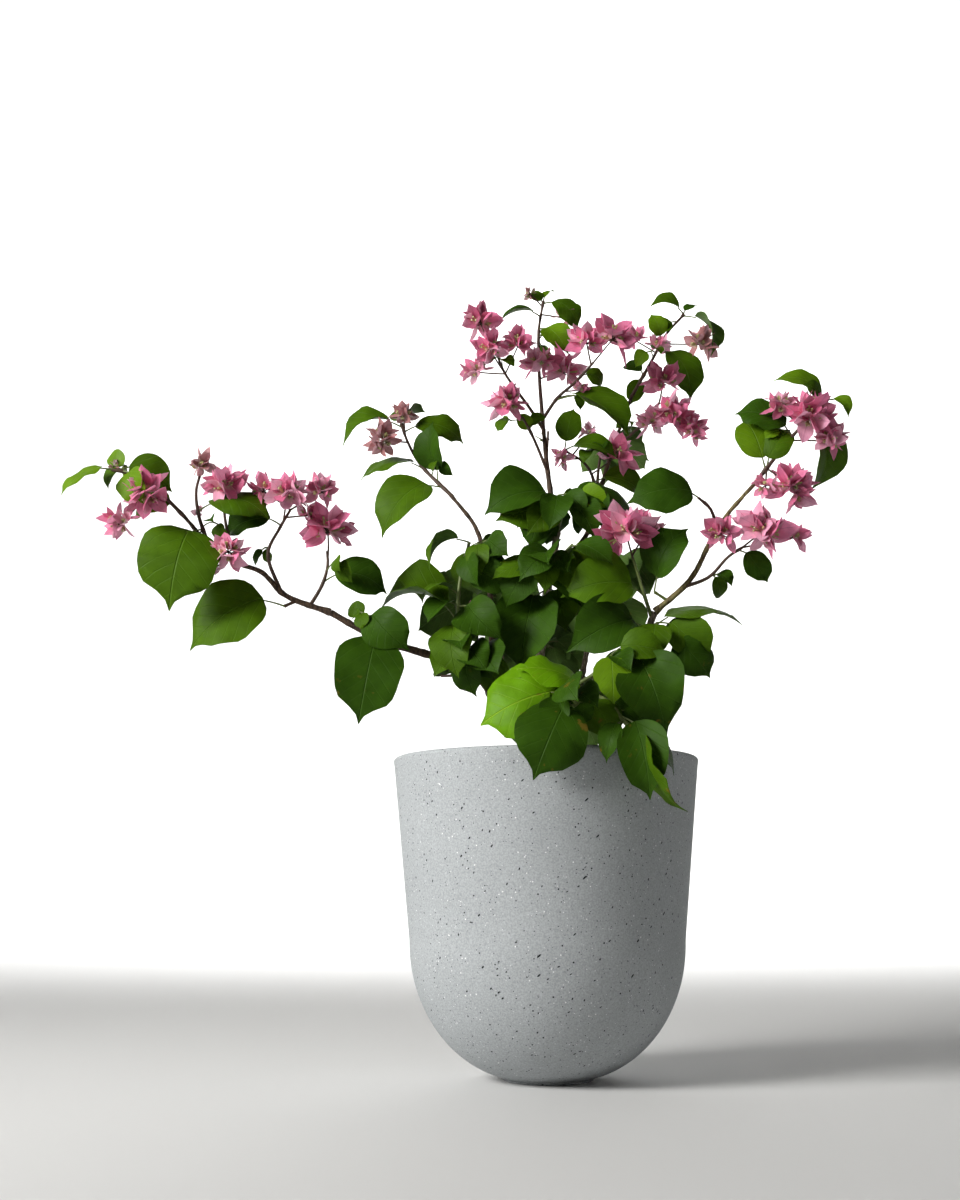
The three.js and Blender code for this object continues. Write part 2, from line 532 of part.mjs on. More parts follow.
// A cluster: a stalk, a small core, and flowers spread round the stalk's direction
function growBloom(mass, foot, [, heading, rise, stalk, size], random) {
  const out = direction(heading, rise);
  const centre = foot.clone().addScaledVector(out, stalk);
  const lead = out.clone().add(direction(mass.faces ?? FACE_HEADING, FACE_RISE)).normalize();
  const sideways = sidewaysOf(lead);
  const core = new THREE.OctahedronGeometry(CORE_SHARE * size);
  core.translate(centre.x, centre.y, centre.z);
  const stem = stalkGeometry(foot, centre.clone().addScaledVector(out, STALK_PAST * size), STALK_RADIUS);
  if (touches(mass.name, stem) || touches(mass.name, core)) {
    return;
  }
  keep(mass.name, core);
  keep(mass.name, stem);
  const flowers = Math.max(1, Math.round(size / FLOWER_SPACING));
  for (let flower = 0; flower < flowers; flower += 1) {
    const tilt = flowers === 1 ? 0 : THREE.MathUtils.degToRad(random(...FLOWER_TILT_RANGE));
    const around = (360 / flowers) * flower + random(...FLOWER_AROUND_RANGE);
    const spread = sideways.clone().applyAxisAngle(lead, THREE.MathUtils.degToRad(around));
    const axis = lead.clone().multiplyScalar(Math.cos(tilt)).addScaledVector(spread, Math.sin(tilt));
    const turn = THREE.MathUtils.degToRad(random(0, 360 / BRACTS_PER_FLOWER));
    const spoke = squareTo(axis, sideways).applyAxisAngle(axis, turn);
    const frame = {
      centre: centre.clone().addScaledVector(axis, FLOWER_SEAT * size),
      axis,
      spoke,
      reach: BRACT_SHARE * size * random(...FLOWER_REACH_RANGE),
    };
    if (!touches(mass.name, flowerGeometry(frame, GAP))) {
      keep(mass.name, flowerGeometry(frame));
    }
  }
}

function within(space, point) {
  const [low, high] = space;
  return point.toArray().every((value, axis) => value > low[axis] && value < high[axis]);
}

// The seeded rule: side twigs fan out along the stem, each with leaves that alternate along it
function growTwigs(mass) {
  for (let twig = 0; twig < (mass.twigs ?? 0); twig += 1) {
    const random = seeded(mass.seed * SEEDS_PER_MASS + twig);
    const share = Math.min((twig + TWIG_FIRST) / mass.twigs, TWIG_LAST_SHARE);
    const foot = mass.route.at(mass.route.length * share);
    const heading = mass.fan + ((twig * GOLDEN_ANGLE) % TWIG_FAN) - TWIG_FAN / 2;
    const rise = random(...TWIG_RISE_RANGE);
    const half = (TWIG_LENGTH * random(...TWIG_LENGTH_RANGE)) / 2;
    const route = new Route(foot, [[heading, rise, half], [heading, rise - TWIG_DROOP, half]]);
    const stem = tube(route, 0, route.length, () => TWIG_RADIUS, STEM_SIDES, STEM_STEP);
    if (!within(mass.space, route.at(route.length)) || touches(mass.name, stem)) {
      continue;
    }
    keep(mass.name, stem);
    for (let step = 0; step < TWIG_LEAVES; step += 1) {
      const node = route.at(route.length * (TWIG_BARE + (TWIG_LEAFY * step) / (TWIG_LEAVES - 1)));
      const side = step % 2 === 0 ? TWIG_LEAF_SIDE : -TWIG_LEAF_SIDE;
      const leafHeading = heading + side * random(...TWIG_LEAF_SIDE_RANGE);
      const leafRise = random(...TWIG_LEAF_RISE_RANGE);
      const leafLength = TWIG_LEAF_LENGTH * random(...TWIG_LEAF_LENGTH_RANGE);
      const tip = node.clone().addScaledVector(direction(leafHeading, leafRise), leafLength);
      if (within(mass.space, tip)) {
        growLeaf(mass, node, [0, leafHeading, leafRise, leafLength], random);
      }
    }
    if (twig === TWIG_WITH_BLOOM) {
      const bloom = [0, heading, TWIG_BLOOM_RISE, TWIG_BLOOM_STALK, TWIG_BLOOM_SIZE];
      growBloom(mass, route.at(route.length * TWIG_BLOOM_AT), bloom, random);
    }
  }
}

// The distance along a side limb's route at which it is clear of what it leaves and of its sisters
function spurLength(limb, parent, sisters) {
  const clearance = (distance) => {
    const point = limb.route.at(distance);
    const parentRadius = parent.radiusAt(parent.route.length * limb.at);
    const fromParent = parent.route.clearOf(point) - parentRadius;
    const fromSisters = sisters.map((sister) => sister.route.clearOf(point) - sister.girth[0]);
    return Math.min(fromParent, ...fromSisters) - limb.girth[0];
  };
  const end = Math.min(SPUR_SEARCH, limb.route.length - LEAVES_PAST_SPUR);
  for (let distance = end; distance > 2 * limb.girth[0]; distance -= 1) {
    if (clearance(distance) < SPUR_CLEARANCE) {
      return distance + 1;
    }
  }
  return 2 * limb.girth[0];
}

function taper(limb) {
  const [start, end] = limb.girth;
  return (distance) => {
    const share = THREE.MathUtils.clamp(distance / limb.route.length, 0, 1);
    return THREE.MathUtils.lerp(start, end, share);
  };
}

// The trunk's radius, with a flare that spreads into blunt root toes at the soil
function trunkRadius(distance, angle) {
  const share = distance / trunk.route.length;
  const flare = ROOT_FLARE * Math.exp(-share / ROOT_FLARE_REACH);
  const toes = 1 + ROOT_TOE_SWELL * Math.cos(ROOT_TOES * angle);
  return THREE.MathUtils.lerp(TRUNK_FOOT_RADIUS, TRUNK_FORK_RADIUS, share) + flare * toes;
}

const soilTop = POT_HEIGHT - SOIL_BELOW_RIM;
const trunkFoot = new THREE.Vector3(0, 0, soilTop + GAP);
const trunk = {
  name: 'trunk',
  girth: [TRUNK_FOOT_RADIUS, TRUNK_FORK_RADIUS],
  route: new Route(trunkFoot, [[180, 90, TRUNK_HEIGHT / 2], [180, TRUNK_LEAN, TRUNK_HEIGHT / 2]]),
};
trunk.radiusAt = () => TRUNK_FORK_RADIUS;

const LIMBS = [...BOUGHS, ...MASSES];
const limbs = new Map([[trunk.name, trunk]]);
for (const limb of LIMBS) {
  const parent = limbs.get(limb.on);
  const start = parent.route.at(parent.route.length * limb.at);
  limb.route = new Route(start, limb.legs);
  limb.radiusAt = taper(limb);
  limbs.set(limb.name, limb);
}
for (const limb of LIMBS) {
  const sisters = LIMBS.filter((other) => other !== limb && other.on === limb.on);
  limb.spur = spurLength(limb, limbs.get(limb.on), sisters);
}

keep('trunk', tube(trunk.route, 0, trunk.route.length, trunkRadius, TRUNK_SIDES, TRUNK_STEP));
for (const limb of LIMBS) {
  const stem = MASSES.includes(limb);
  const sides = stem ? STEM_SIDES : BOUGH_SIDES;
  const step = stem ? STEM_STEP : BOUGH_STEP;
  const { route, radiusAt } = limb;
  keep(limb.name, tube(route, limb.spur + GAP, route.length, radiusAt, sides, step));
  // The parent carries the limb's first stretch, as a spur of its own wood
  keep(limb.on, tube(route, 0, limb.spur, radiusAt, sides, step));
}

// Points of a pot face from its lowest to `top`, set in from the outer face by `inset`.
// The belly takes steps of equal angle, and the straight wall needs only its upper end.
function potFace(inset, top, lowest, steps) {
  const points = [];
  for (let i = 0; i <= steps; i += 1) {
    const angle = THREE.MathUtils.degToRad(THREE.MathUtils.lerp(lowest, 90, i / steps));
    points.push(new THREE.Vector2(
      POT_BELLY_CENTRE + (POT_BELLY_RADIUS - inset - POT_BELLY_CENTRE) * Math.sin(angle),
      inset + (POT_BELLY_HEIGHT - inset) * (1 - Math.cos(angle)),
    ));
  }
  const share = (top - POT_BELLY_HEIGHT) / (POT_HEIGHT - POT_BELLY_HEIGHT);
  const topRadius = THREE.MathUtils.lerp(POT_BELLY_RADIUS, POT_RIM_RADIUS, share) - inset;
  points.push(new THREE.Vector2(topRadius, top));
  return points;
}

// A quarter turn of the lip, from the outer side up or from the top down to the inner side
function lipTurn(radius, from, to) {
  const points = [];
  for (let i = 0; i <= LIP_STEPS; i += 1) {
    const angle = THREE.MathUtils.degToRad(THREE.MathUtils.lerp(from, to, i / LIP_STEPS));
    points.push(new THREE.Vector2(
      radius + POT_LIP_RADIUS * Math.cos(angle),
      POT_HEIGHT - POT_LIP_RADIUS + POT_LIP_RADIUS * Math.sin(angle),
    ));
  }
  return points;
}

function potGeometry() {
  return new THREE.LatheGeometry([
    new THREE.Vector2(0, 0),
    new THREE.Vector2(POT_FOOT_RADIUS, 0),
    new THREE.Vector2(POT_FOOT_RADIUS, POT_FOOT_HEIGHT),
    ...potFace(0, POT_HEIGHT - 2 * POT_LIP_RADIUS, BELLY_START, BELLY_STEPS),
    ...lipTurn(POT_RIM_RADIUS - POT_LIP_RADIUS, 0, 90),
    ...lipTurn(POT_RIM_RADIUS - POT_WALL + POT_LIP_RADIUS, 90, 180),
    ...potFace(POT_WALL, POT_HEIGHT - 2 * POT_LIP_RADIUS, 0, INNER_STEPS).reverse(),
    new THREE.Vector2(0, POT_WALL),
  ], POT_SIDES);
}

function soilGeometry() {
  return new THREE.LatheGeometry([
    new THREE.Vector2(0, POT_WALL + GAP),
    ...potFace(POT_WALL + GAP, soilTop, 0, INNER_STEPS),
    new THREE.Vector2(0, soilTop),
  ], POT_SIDES);
}

// A LatheGeometry turns about Y, so it is stood up on Z
const potSolid = potGeometry().rotateX(Math.PI / 2);
const soilSolid = soilGeometry().rotateX(Math.PI / 2);
keep('pot', potSolid);
keep('soil', soilSolid);

for (const mass of MASSES) {
  const footOf = (share) => mass.route.at(
    Math.max(mass.route.length * share, mass.spur + LEAVES_PAST_SPUR),
  );
  const firstSeed = mass.seed * SEEDS_PER_MASS;
  mass.leaves.forEach((leaf, index) => {
    growLeaf(mass, footOf(leaf[0]), leaf, seeded(firstSeed + LEAF_SEEDS + index));
  });
  mass.blooms.forEach((bloom, index) => {
    growBloom(mass, footOf(bloom[0]), bloom, seeded(firstSeed + BLOOM_SEEDS + index));
  });
}
for (const mass of MASSES) {
  growTwigs(mass);
}

// Join an owner's pieces and drop loose scraps
function joined(owner) {
  let whole = null;
  for (const solid of pieces.get(owner)) {
    whole = whole === null ? solid : whole.add(solid);
  }
  const bodies = whole.decompose();
  bodies.sort((a, b) => b.volume() - a.volume());
  return bodies[0];
}

const MATERIALS = {
  pot: new THREE.MeshStandardMaterial({ color: '#9c9fa0', roughness: 0.8, metalness: 0 }),
  soil: new THREE.MeshStandardMaterial({ color: '#3a2c22', roughness: 1, metalness: 0 }),
  wood: new THREE.MeshStandardMaterial({ color: '#5d4a35', roughness: 0.85, metalness: 0 }),
  foliage: new THREE.MeshStandardMaterial({ color: '#3c6128', roughness: 0.55, metalness: 0 }),
};

function materialOf(name) {
  if (name.startsWith('foliage')) {
    return MATERIALS.foliage;
  }
  return MATERIALS[name] ?? MATERIALS.wood;
}

const plant = new THREE.Group();
for (const owner of pieces.keys()) {
  const mesh = new THREE.Mesh(geometryOf(joined(owner)), materialOf(owner));
  mesh.name = owner;
  plant.add(mesh);
}

export default plant;
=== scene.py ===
"""A bougainvillea bush in its speckled patio planter, dressed round the packed model."""
import math
from functools import lru_cache

import bmesh
import bpy
import numpy as np
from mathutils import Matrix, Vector, noise


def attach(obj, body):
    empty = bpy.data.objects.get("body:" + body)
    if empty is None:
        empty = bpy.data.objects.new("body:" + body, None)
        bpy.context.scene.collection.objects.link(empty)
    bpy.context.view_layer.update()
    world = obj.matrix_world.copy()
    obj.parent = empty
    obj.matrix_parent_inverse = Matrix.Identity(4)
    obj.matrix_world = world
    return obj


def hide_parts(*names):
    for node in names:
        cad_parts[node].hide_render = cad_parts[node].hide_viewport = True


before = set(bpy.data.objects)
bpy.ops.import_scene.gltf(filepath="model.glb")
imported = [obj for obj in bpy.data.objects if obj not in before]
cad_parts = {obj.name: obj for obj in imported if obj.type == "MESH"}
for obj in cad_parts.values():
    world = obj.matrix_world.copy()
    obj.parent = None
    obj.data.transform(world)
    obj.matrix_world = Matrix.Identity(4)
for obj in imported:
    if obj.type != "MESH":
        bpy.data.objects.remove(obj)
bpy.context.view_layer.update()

bl_info = {
    "name": "Potted Bougainvillea",
    "version": (1, 0, 0),
    "blender": (4, 5, 0),
    "location": "View3D > Sidebar > Bougainvillea",
    "description": "Grows a flowering bougainvillea bush in a round-bottomed planter",
    "category": "Add Mesh",
}

# Lengths below are in millimetres and angles in degrees. Meshes are written in metres.
MM = 0.001

# Planter: a tapered wall over a belly whose section is a quarter ellipse, on a small flat foot
POT_BELLY_RADIUS = 133.5
POT_BELLY_HEIGHT = 130.0
POT_BELLY_CENTRE = 21.0
POT_FOOT_RADIUS = 43.0
POT_FOOT_HEIGHT = 2.0
POT_FOOT_EDGE = (1.0, 0.6)
BELLY_START = 14.0
BELLY_STEPS = 26
WALL_STEPS = 4
LIP_STEPS = 6
POT_SIDES = 144

# Soil: a filling that keeps clear of the wall, with a lumpy surface and loose crumbs on it. A layer
# of lumps is (height, lumps to the metre).
SOIL_CLEAR = 1.6
SOIL_THICK = 24.0
SOIL_FOOT_INSET = 8.0
SOIL_SUNK = 1.5
SOIL_SKIN = 3.0
SOIL_LUMPS = ((2.6, 45.0), (1.2, 160.0))
SOIL_HIGHEST = 1.6
SOIL_RINGS = 44
SOIL_SIDES = 120
CRUMBS = 700
CRUMB_SEED = 7
CRUMB_SPREAD = (0.03, 0.93)
CRUMB_SIZE = (0.8, 3.4)
CRUMB_STRETCH = ((0.7, 1.6), (0.6, 1.1), (0.4, 0.8))
CRUMB_SUNK = 1.2
CRUMB_PERCH = 0.3

# Trunk
TRUNK_HEIGHT = 41.0
TRUNK_FOOT_RADIUS = 17.0
TRUNK_FORK_RADIUS = 12.0
TRUNK_LEAN = 82.0
ROOT_FLARE = 11.0
ROOT_FLARE_REACH = 0.22
ROOT_TOES = 5
ROOT_TOE_SWELL = 0.35
TRUNK_CLEAR = 0.3

# Boughs: a collar at the parent and a swelling at each node, as shares of the girth, each with how
# far it reaches. Between them a bough is a little thinner than its solid.
BOUGH_THIN = 0.8
COLLAR_SWELL = 0.28
COLLAR_REACH = 7.0
NODE_SWELL = 0.11
NODE_REACH = 3.0
NODE_FIRST = 24.0
NODE_SPACING = 27.0
RING_SPACING = 2.4

# Bark: furrows and finer grain as shares of the bark's depth, and the share that it is sunk by
FURROWS = 0.9
GRAIN = 0.4
GRAIN_PER_MM = 0.35
BARK_SUNK = 0.3

# Routes: how finely curves are sampled, and the spur of a side limb, which is its bare first length,
# still close to its parent
ROUTE_SAMPLES = 40
STEM_SAMPLES = 17
TANGENT_REACH = 1.0
SPUR_LONGEST = 70.0
SPUR_CLEAR = 1.0
SPUR_STEP = 1.0
LEAVES_PAST_SPUR = 2.0
UPRIGHT = 0.9

# Leaves: petioles lift the blade off the stem, and faces look to the light and out of the crown
PETIOLE_SHARE = 0.25
PETIOLE_LIFT = 50.0
PETIOLE_STEEPEST = 80.0
PETIOLE_MIDDLE = 0.55
PETIOLE_INTO_BLADE = 0.05
PETIOLE_UNDER_BLADE = 0.2
FACE_HEADING = -106.0
FACE_RISE = 24.0
FACE_OUTWARD = 0.4
LEAF_TURN = (-12.0, 12.0)

# Blades, one long. rows and columns cut the outline, swell and narrow shape its foot and its tip,
# drip draws the tip out. A leaf is broad near its foot with a drip tip, a bract is a pointed oval.
# Leaves of the seeded rule are many and have fewer faces. Faces whose normal is below UNDER_LIMIT
# are the underside.
LEAF_SHAPE = dict(rows=14, columns=4, swell=0.5, narrow=0.72, width=0.73, drip=0.72, thickness=0.008)
SMALL_LEAF_SHAPE = dict(LEAF_SHAPE, rows=9, columns=2)
BRACT_SHAPE = dict(rows=8, columns=2, swell=0.6, narrow=0.86, width=0.66, drip=0.4, thickness=0.01)
ROWS_EVEN = 0.35
DRIP_START = 0.76
DRIP_LENGTH = 0.19
BLADE_POINT = 0.006
UNDER_LIMIT = -0.5

# The bends of a blade: its usual half width, waves of its outline and of its margin from foot to
# tip, by how much the two margins are out of step, and how a bent blade gets shorter
HALF_WIDTH = 0.38
OUTLINE_WAVES = 1.7
MARGIN_WAVES = 2.2
OUT_OF_STEP = 2.1
DROOP_POWER = 2.5
SHORTENED = 0.25

# Ranges that a seed draws from, in the order of the draws. Leaf ripples are a share of the
# setting, and bract arches a share of BRACT_ARCH.
LEAF_ARCH = 0.11
LEAF_ARCH_DRAW = (0.7, 1.3)
LEAF_FOLD_DRAW = (0.6, 1.4)
LEAF_WIDTH_DRAW = (0.9, 1.1)
LEAF_DRAWS = dict(cup=(-0.5, 0.2), droop=(0.04, 0.3), ripple=(0.4, 1.6), phase=(0, 6.28),
                  bend=(-0.12, 0.12), twist=(-26, 26))
BRACT_ARCH = -0.1
BRACT_SPREAD_DRAW = (-9, 9)
BRACT_OPENING_DRAW = (16, 56)
BRACT_LENGTH_DRAW = (0.86, 1.1)
BRACT_DRAWS = dict(width=(0.82, 1.16), arch=(0.4, 1.6), fold=(0.08, 0.3), cup=(0.0, 0.4),
                   droop=(-0.15, 0.3), ripple=(0.02, 0.07), phase=(0, 6.28), bend=(-0.16, 0.16),
                   twist=(-24, 24))
FLOWER_TUBE_DRAW = (0.32, 0.5)

# Tones, in the order of the material slots. A mass draws dark leaves below its first share and mid
# ones below its second.
TONES = ("dark", "mid", "light", "lime")
UNDERSIDE = 4
# The dark tone is painted shade and the light tone painted light: the heart and back draw mostly dark
# leaves, the outer parts more light ones.
SHADED_INNER_TONES = (0.62, 0.96)
LIT_OUTER_TONES = (0.18, 0.78)
# Bract tones: pale, bright and dusky are lit and shaded copies of one pink, dealt at random to each flower.
# Pale is painted light and dusky is painted shade.
BRACT_TONES = ("pale", "bright", "dusky", "young")
PALE_LIT_BELOW = 0.3
BRIGHT_BELOW = 0.75
TUBE_SLOT = 4
GREEN_STEM, LIME_STEM, PURPLE_STEM = range(3)

# Heads of blossom: flowers spread over a dome that leans to the light and up. In a flower, bracts
# start off the axis, and tubes lean out and bow.
BRACTS = 3
BRACT_OFF_AXIS = 0.6
TUBE_LEAN = 0.2
TUBE_BOW = 0.4
FLOWER_STALK_BOW = 0.3
HEAD_TO_LIGHT = 0.8
HEAD_UP = 0.35
HEAD_FEWEST = 2
DOME_FIRST = 0.35
DOME_DEPTH = 1.25
STALK_BOW_DRAW = (-0.06, 0.06)
FLOWER_TILT_DRAW = (-8, 8)
FLOWER_SPREAD_DRAW = (-14, 14)
FLOWER_TURN_DRAW = (0, 120)
FLOWER_SEAT_DRAW = (0.06, 0.17)
FLOWER_SIZE_DRAW = (0.8, 1.1)
BUD_SIZE = 0.6

# Thin stems: radius at the foot and at the tip, with the sides and rows of the tube
PETIOLE = dict(radii=(1.0, 0.7), sides=5, rows=4)
HEAD_STALK = dict(radii=(1.0, 0.8), sides=6, rows=5)
FLOWER_STALK = dict(radii=(0.6, 0.7), sides=4, rows=2)
FLOWER_TUBE = dict(radii=(0.7, 0.95), sides=5, rows=3)
FINE_TWIG = dict(radii=(0.8, 0.6), sides=5, rows=3)

# The seeded rule of the side twigs, as the solids have it. The taper is a twig's radius at its foot
# and what it loses by the tip, as shares of TWIG_RADIUS.
TWIG_LENGTH = 46.0
TWIG_LENGTH_DRAW = (0.8, 1.15)
TWIG_RADIUS = 1.3
TWIG_TAPER = (1.15, 0.4)
TWIG_ROWS = 10
TWIG_SIDES = 7
TWIG_FIRST = 0.8
TWIG_LAST_SHARE = 0.97
TWIG_FAN = 240.0
GOLDEN_ANGLE = 137.5
TWIG_RISE_DRAW = (0.0, 40.0)
TWIG_DROOP = 15.0
TWIG_LEAVES = 3
TWIG_BARE = 0.45
TWIG_LEAFY = 0.5
TWIG_LEAF_LENGTH = 62.0
TWIG_LEAF_LENGTH_DRAW = (0.75, 1.15)
TWIG_LEAF_SIDE = 55.0
TWIG_LEAF_SIDE_DRAW = (0.5, 1.2)
TWIG_LEAF_RISE_DRAW = (-50.0, -5.0)
TWIG_WITH_BLOOM = 1
TWIG_BLOOM_AT = 0.9
TWIG_BLOOM = (55.0, 26.0, 44.0)
SEEDS_PER_MASS = 100
FINE_SEEDS = 20
LEAF_SEEDS = 50
BLOOM_SEEDS = 80

# Fine twigs with two young leaves each: how many a mass has, and their leaves' least and greatest
# length, by part of the crown
FINE_TWIGS = {
    "left": (1, 16, 26),
    "heart": (5, 32, 54),
    "right": (1, 18, 30),
    "top": (1, 16, 26),
    "back": (7, 30, 54),
}
FINE_AT_DRAW = (0.2, 0.95)
FINE_HEADING_DRAW = (-150, 150)
FINE_RISE_DRAW = (5, 50)
FINE_LENGTH_DRAW = (9, 20)
FINE_BOW = 20
FINE_LEAF_SIDE_DRAW = (25, 70)
FINE_LEAF_RISE_DRAW = (-72, -5)

# A mass's own stem: a ring each few millimetres, and a swelling where each leaf is set
STEM_FEWEST_ROWS = 3
STEM_RING_SPACING = 5
STEM_SIDES = 8
KNOT_SWELL = 0.5
KNOT_REACH = 2.5

# Rings and sides of the bark tubes. Furrows are (ridges round the limb, waves to a millimetre along
# it, where the pattern starts), and each bough's pattern starts further on. BOUGH_BARK is the depth
# of a bough's bark against the trunk's.
TRUNK_RINGS = 26
TRUNK_SIDES = 56
TRUNK_FURROWS = (3.0, 0.03, 4.0)
BOUGH_SIDES = 16
BOUGH_FURROWS = (1.6, 0.08)
BOUGH_FURROWS_APART = 20.0
BOUGH_BARK = 0.3

# Finishes, each with its material's name and the setting that holds its first colour. Those of
# leaves, stems and bracts stand in the order of their slots.
# Bark: name, setting, colour of the cracks and of the worn patches
BARK_FINISHES = (
    ("bark_grey_old_wood", "grey", "#4c4234", "#aa9f8c"),
    ("bark_brown_ripe_wood", "brown", "#2c1f16", "#6d5641"),
    ("bark_olive_half_ripe", "olive", "#493a26", "#8f8a58"),
)
# Leaves: name, setting, colour of the veins, roughness and gloss
LEAF_FINISHES = (
    # The dark finish is painted shade and the light finish painted light.
    ("leaf_dark_painted_shade", "dark", "#426122", 0.5, 0.08),
    ("leaf_mid_waxy", "mid", "#557626", 0.5, 0.09),
    ("leaf_pale_painted_light", "light", "#72933a", 0.5, 0.12),
    ("leaf_lime_young", "lime", "#8fb030", 0.5, 0.15),
    ("leaf_underside_matte", "underside", "#7a9052", 0.62, 0.18),
)
# Stems and flower tubes: name, setting, colour of the blotches and roughness
STEM_FINISHES = (
    ("twig_green_soft", "green_stem", "#4d5a2a", 0.55),
    ("petiole_lime_soft", "lime_stem", "#7a8c3a", 0.5),
    ("stalk_purplish_ripe", "purple_stem", "#37261f", 0.6),
)
TUBE_FINISH = ("flower_tube_cream", "tube", "#8f9a5c", 0.5)
# Bracts: name, setting, colour of the veins, and the setting that holds the foot's colour
BRACT_FINISHES = (
    # The pale finish is painted light and the dusky finish painted shade on the one pink.
    ("bract_pale_painted_light", "light", "#c8668a", "foot"),
    ("bract_bright_papery", "bright", "#b04a70", "foot"),
    ("bract_dusky_painted_shade", "dusky", "#843450", "foot"),
    ("bract_young_papery", "young", "#7c4a45", "young_foot"),
)

# Scorch: brown spots on leaves below the first height, gone by the second, in metres
SCORCH = "#6e5a20"
SCORCH_BELOW = 0.34
SCORCH_ENDS = 0.4

# Flecks as (turn in radians, stretch along each axis, cell in millimetres, share of the cells that
# are filled, reach of a fleck in its cell). The first three layers of dark chips are slivers.
FAINT_FLECKS = ((0.5, 0.1, 0.4), (1.0, 1.0, 1.0), 2.2, 0.4, 0.3)
FINE_GRIT = ((0.7, 0.4, 0.3), (1.0, 1.0, 1.0), 2.6, 0.13, 0.19)
COARSE_GRIT = ((0.3, 0.2, 0.9), (1.0, 1.0, 1.0), 4.4, 0.14, 0.17)
DARK_CHIPS = (
    ((0.0, 0.85, 0.0), (1.0, 1.0, 3.0), 6.2, 0.2, 0.15),
    ((0.2, 1.1, 0.3), (1.0, 1.0, 2.2), 5.0, 0.16, 0.14),
    ((0.2, 0.3, 0.2), (1.0, 1.0, 2.0), 5.6, 0.12, 0.14),
    ((0.4, 0.7, 0.0), (1.0, 1.0, 1.0), 5.6, 0.18, 0.16),
    ((1.1, 0.1, 0.2), (1.0, 1.0, 1.0), 3.4, 0.16, 0.17),
    ((0.2, 0.4, 0.7), (1.0, 1.0, 1.0), 2.3, 0.14, 0.2),
)
SOIL_FIBRES = ((0.4, 0.2, 0.6), (1.0, 2.8, 1.0), 5.0, 0.2, 0.2)

# Stage: a round sweep of paper that turns up into a wall, just below the pot's foot. Lights are in
# metres, watts and degrees.
SWEEP_RADIUS = 4800.0
SWEEP_BACKING = 100.0
SWEEP_TOP = 6200.0
SWEEP_WALL_FOOT = 900.0
SWEEP_TURN = 800.0
SWEEP_THICK = 40.0
SWEEP_FLAT = 2000.0
SWEEP_BELOW_FOOT = 0.1
SWEEP_SIDES = 96
KEY_LIGHT = dict(place=(-2.15, -1.38, 1.5), aim=(0.0, 0.0, 0.45), size=1.3, power=34.0,
                 tint=(1.0, 0.99, 0.97), spread=100.0)
BACKDROP_LIGHT = dict(place=(0.1, 2.1, 3.8), aim=(-0.1, 4.8, 1.8), size=3.0, power=240.0,
                      tint=(1.0, 1.0, 1.0), spread=135.0)
SKY_STRENGTH = 0.03

# Limbs. Each leg of a route is (heading, rise, length): degrees from +X towards +Y, degrees above
# level, and millimetres. A limb leaves the limb that it is `on` at the share `at` of that one's
# length, and tapers from the first to the second radius of its `girth`. `bark` is its finish.
BOUGHS = [
    dict(name="bough_left", bark="brown", on="trunk", at=1, girth=(6.5, 3.8),
         legs=[(-165, 38, 57), (-150, 60, 29), (-160, 40, 32),
               (-165, 12, 39), (-165, 16, 51), (-165, 26, 51)]),
    dict(name="bough_left_far", bark="brown", on="bough_left", at=1, girth=(3.7, 2.2),
         legs=[(-170, 20, 48), (-170, 44, 30), (-170, 20, 27), (-172, 34, 35), (-170, 48, 32)]),
    dict(name="bough_upper_left", bark="brown", on="bough_left", at=0.16, girth=(4.6, 2.4),
         legs=[(145, 75, 78), (100, 74, 68), (127, 72, 72), (157, 54, 51)]),
    dict(name="bough_centre", bark="grey", on="trunk", at=1, girth=(7.2, 4.4),
         legs=[(115, 81, 44), (40, 87, 56), (20, 83, 53), (15, 79, 43), (0, 82, 30)]),
    dict(name="bough_upright", bark="brown", on="bough_centre", at=1, girth=(3.8, 2.6),
         legs=[(140, 80, 36), (125, 79, 40), (113, 80, 62)]),
    dict(name="bough_top_right", bark="brown", on="bough_centre", at=0.85, girth=(3.5, 2.2),
         legs=[(36, 37, 52), (48, 63, 69), (44, 67, 59), (30, 67, 67)]),
    dict(name="bough_right", bark="grey", on="trunk", at=1, girth=(6.2, 3.9),
         legs=[(-38, 46, 51), (-38, 28, 37), (-32, 40, 35), (-24, 46, 28), (-26, 63, 31)]),
    dict(name="bough_right_far", bark="olive", on="bough_right", at=1, girth=(3.7, 2.2),
         legs=[(-16, 41, 47), (-21, 60, 56), (-18, 48, 61)]),
    dict(name="bough_front", bark="olive", on="trunk", at=1, girth=(4.6, 3),
         legs=[(-80, 40, 65), (-70, 7, 39), (-63, -8, 27), (-53, -22, 14)]),
    dict(name="bough_back_left", bark="grey", on="trunk", at=1, girth=(5, 3),
         legs=[(135, 48, 60), (115, 62, 50), (100, 60, 45)]),
    dict(name="bough_back_right", bark="grey", on="trunk", at=1, girth=(5, 3),
         legs=[(35, 48, 60), (60, 60, 55), (70, 62, 50)]),
    dict(name="bough_back", bark="grey", on="trunk", at=1, girth=(4.8, 3),
         legs=[(90, 40, 70), (90, 25, 50), (92, 0, 40)]),
]

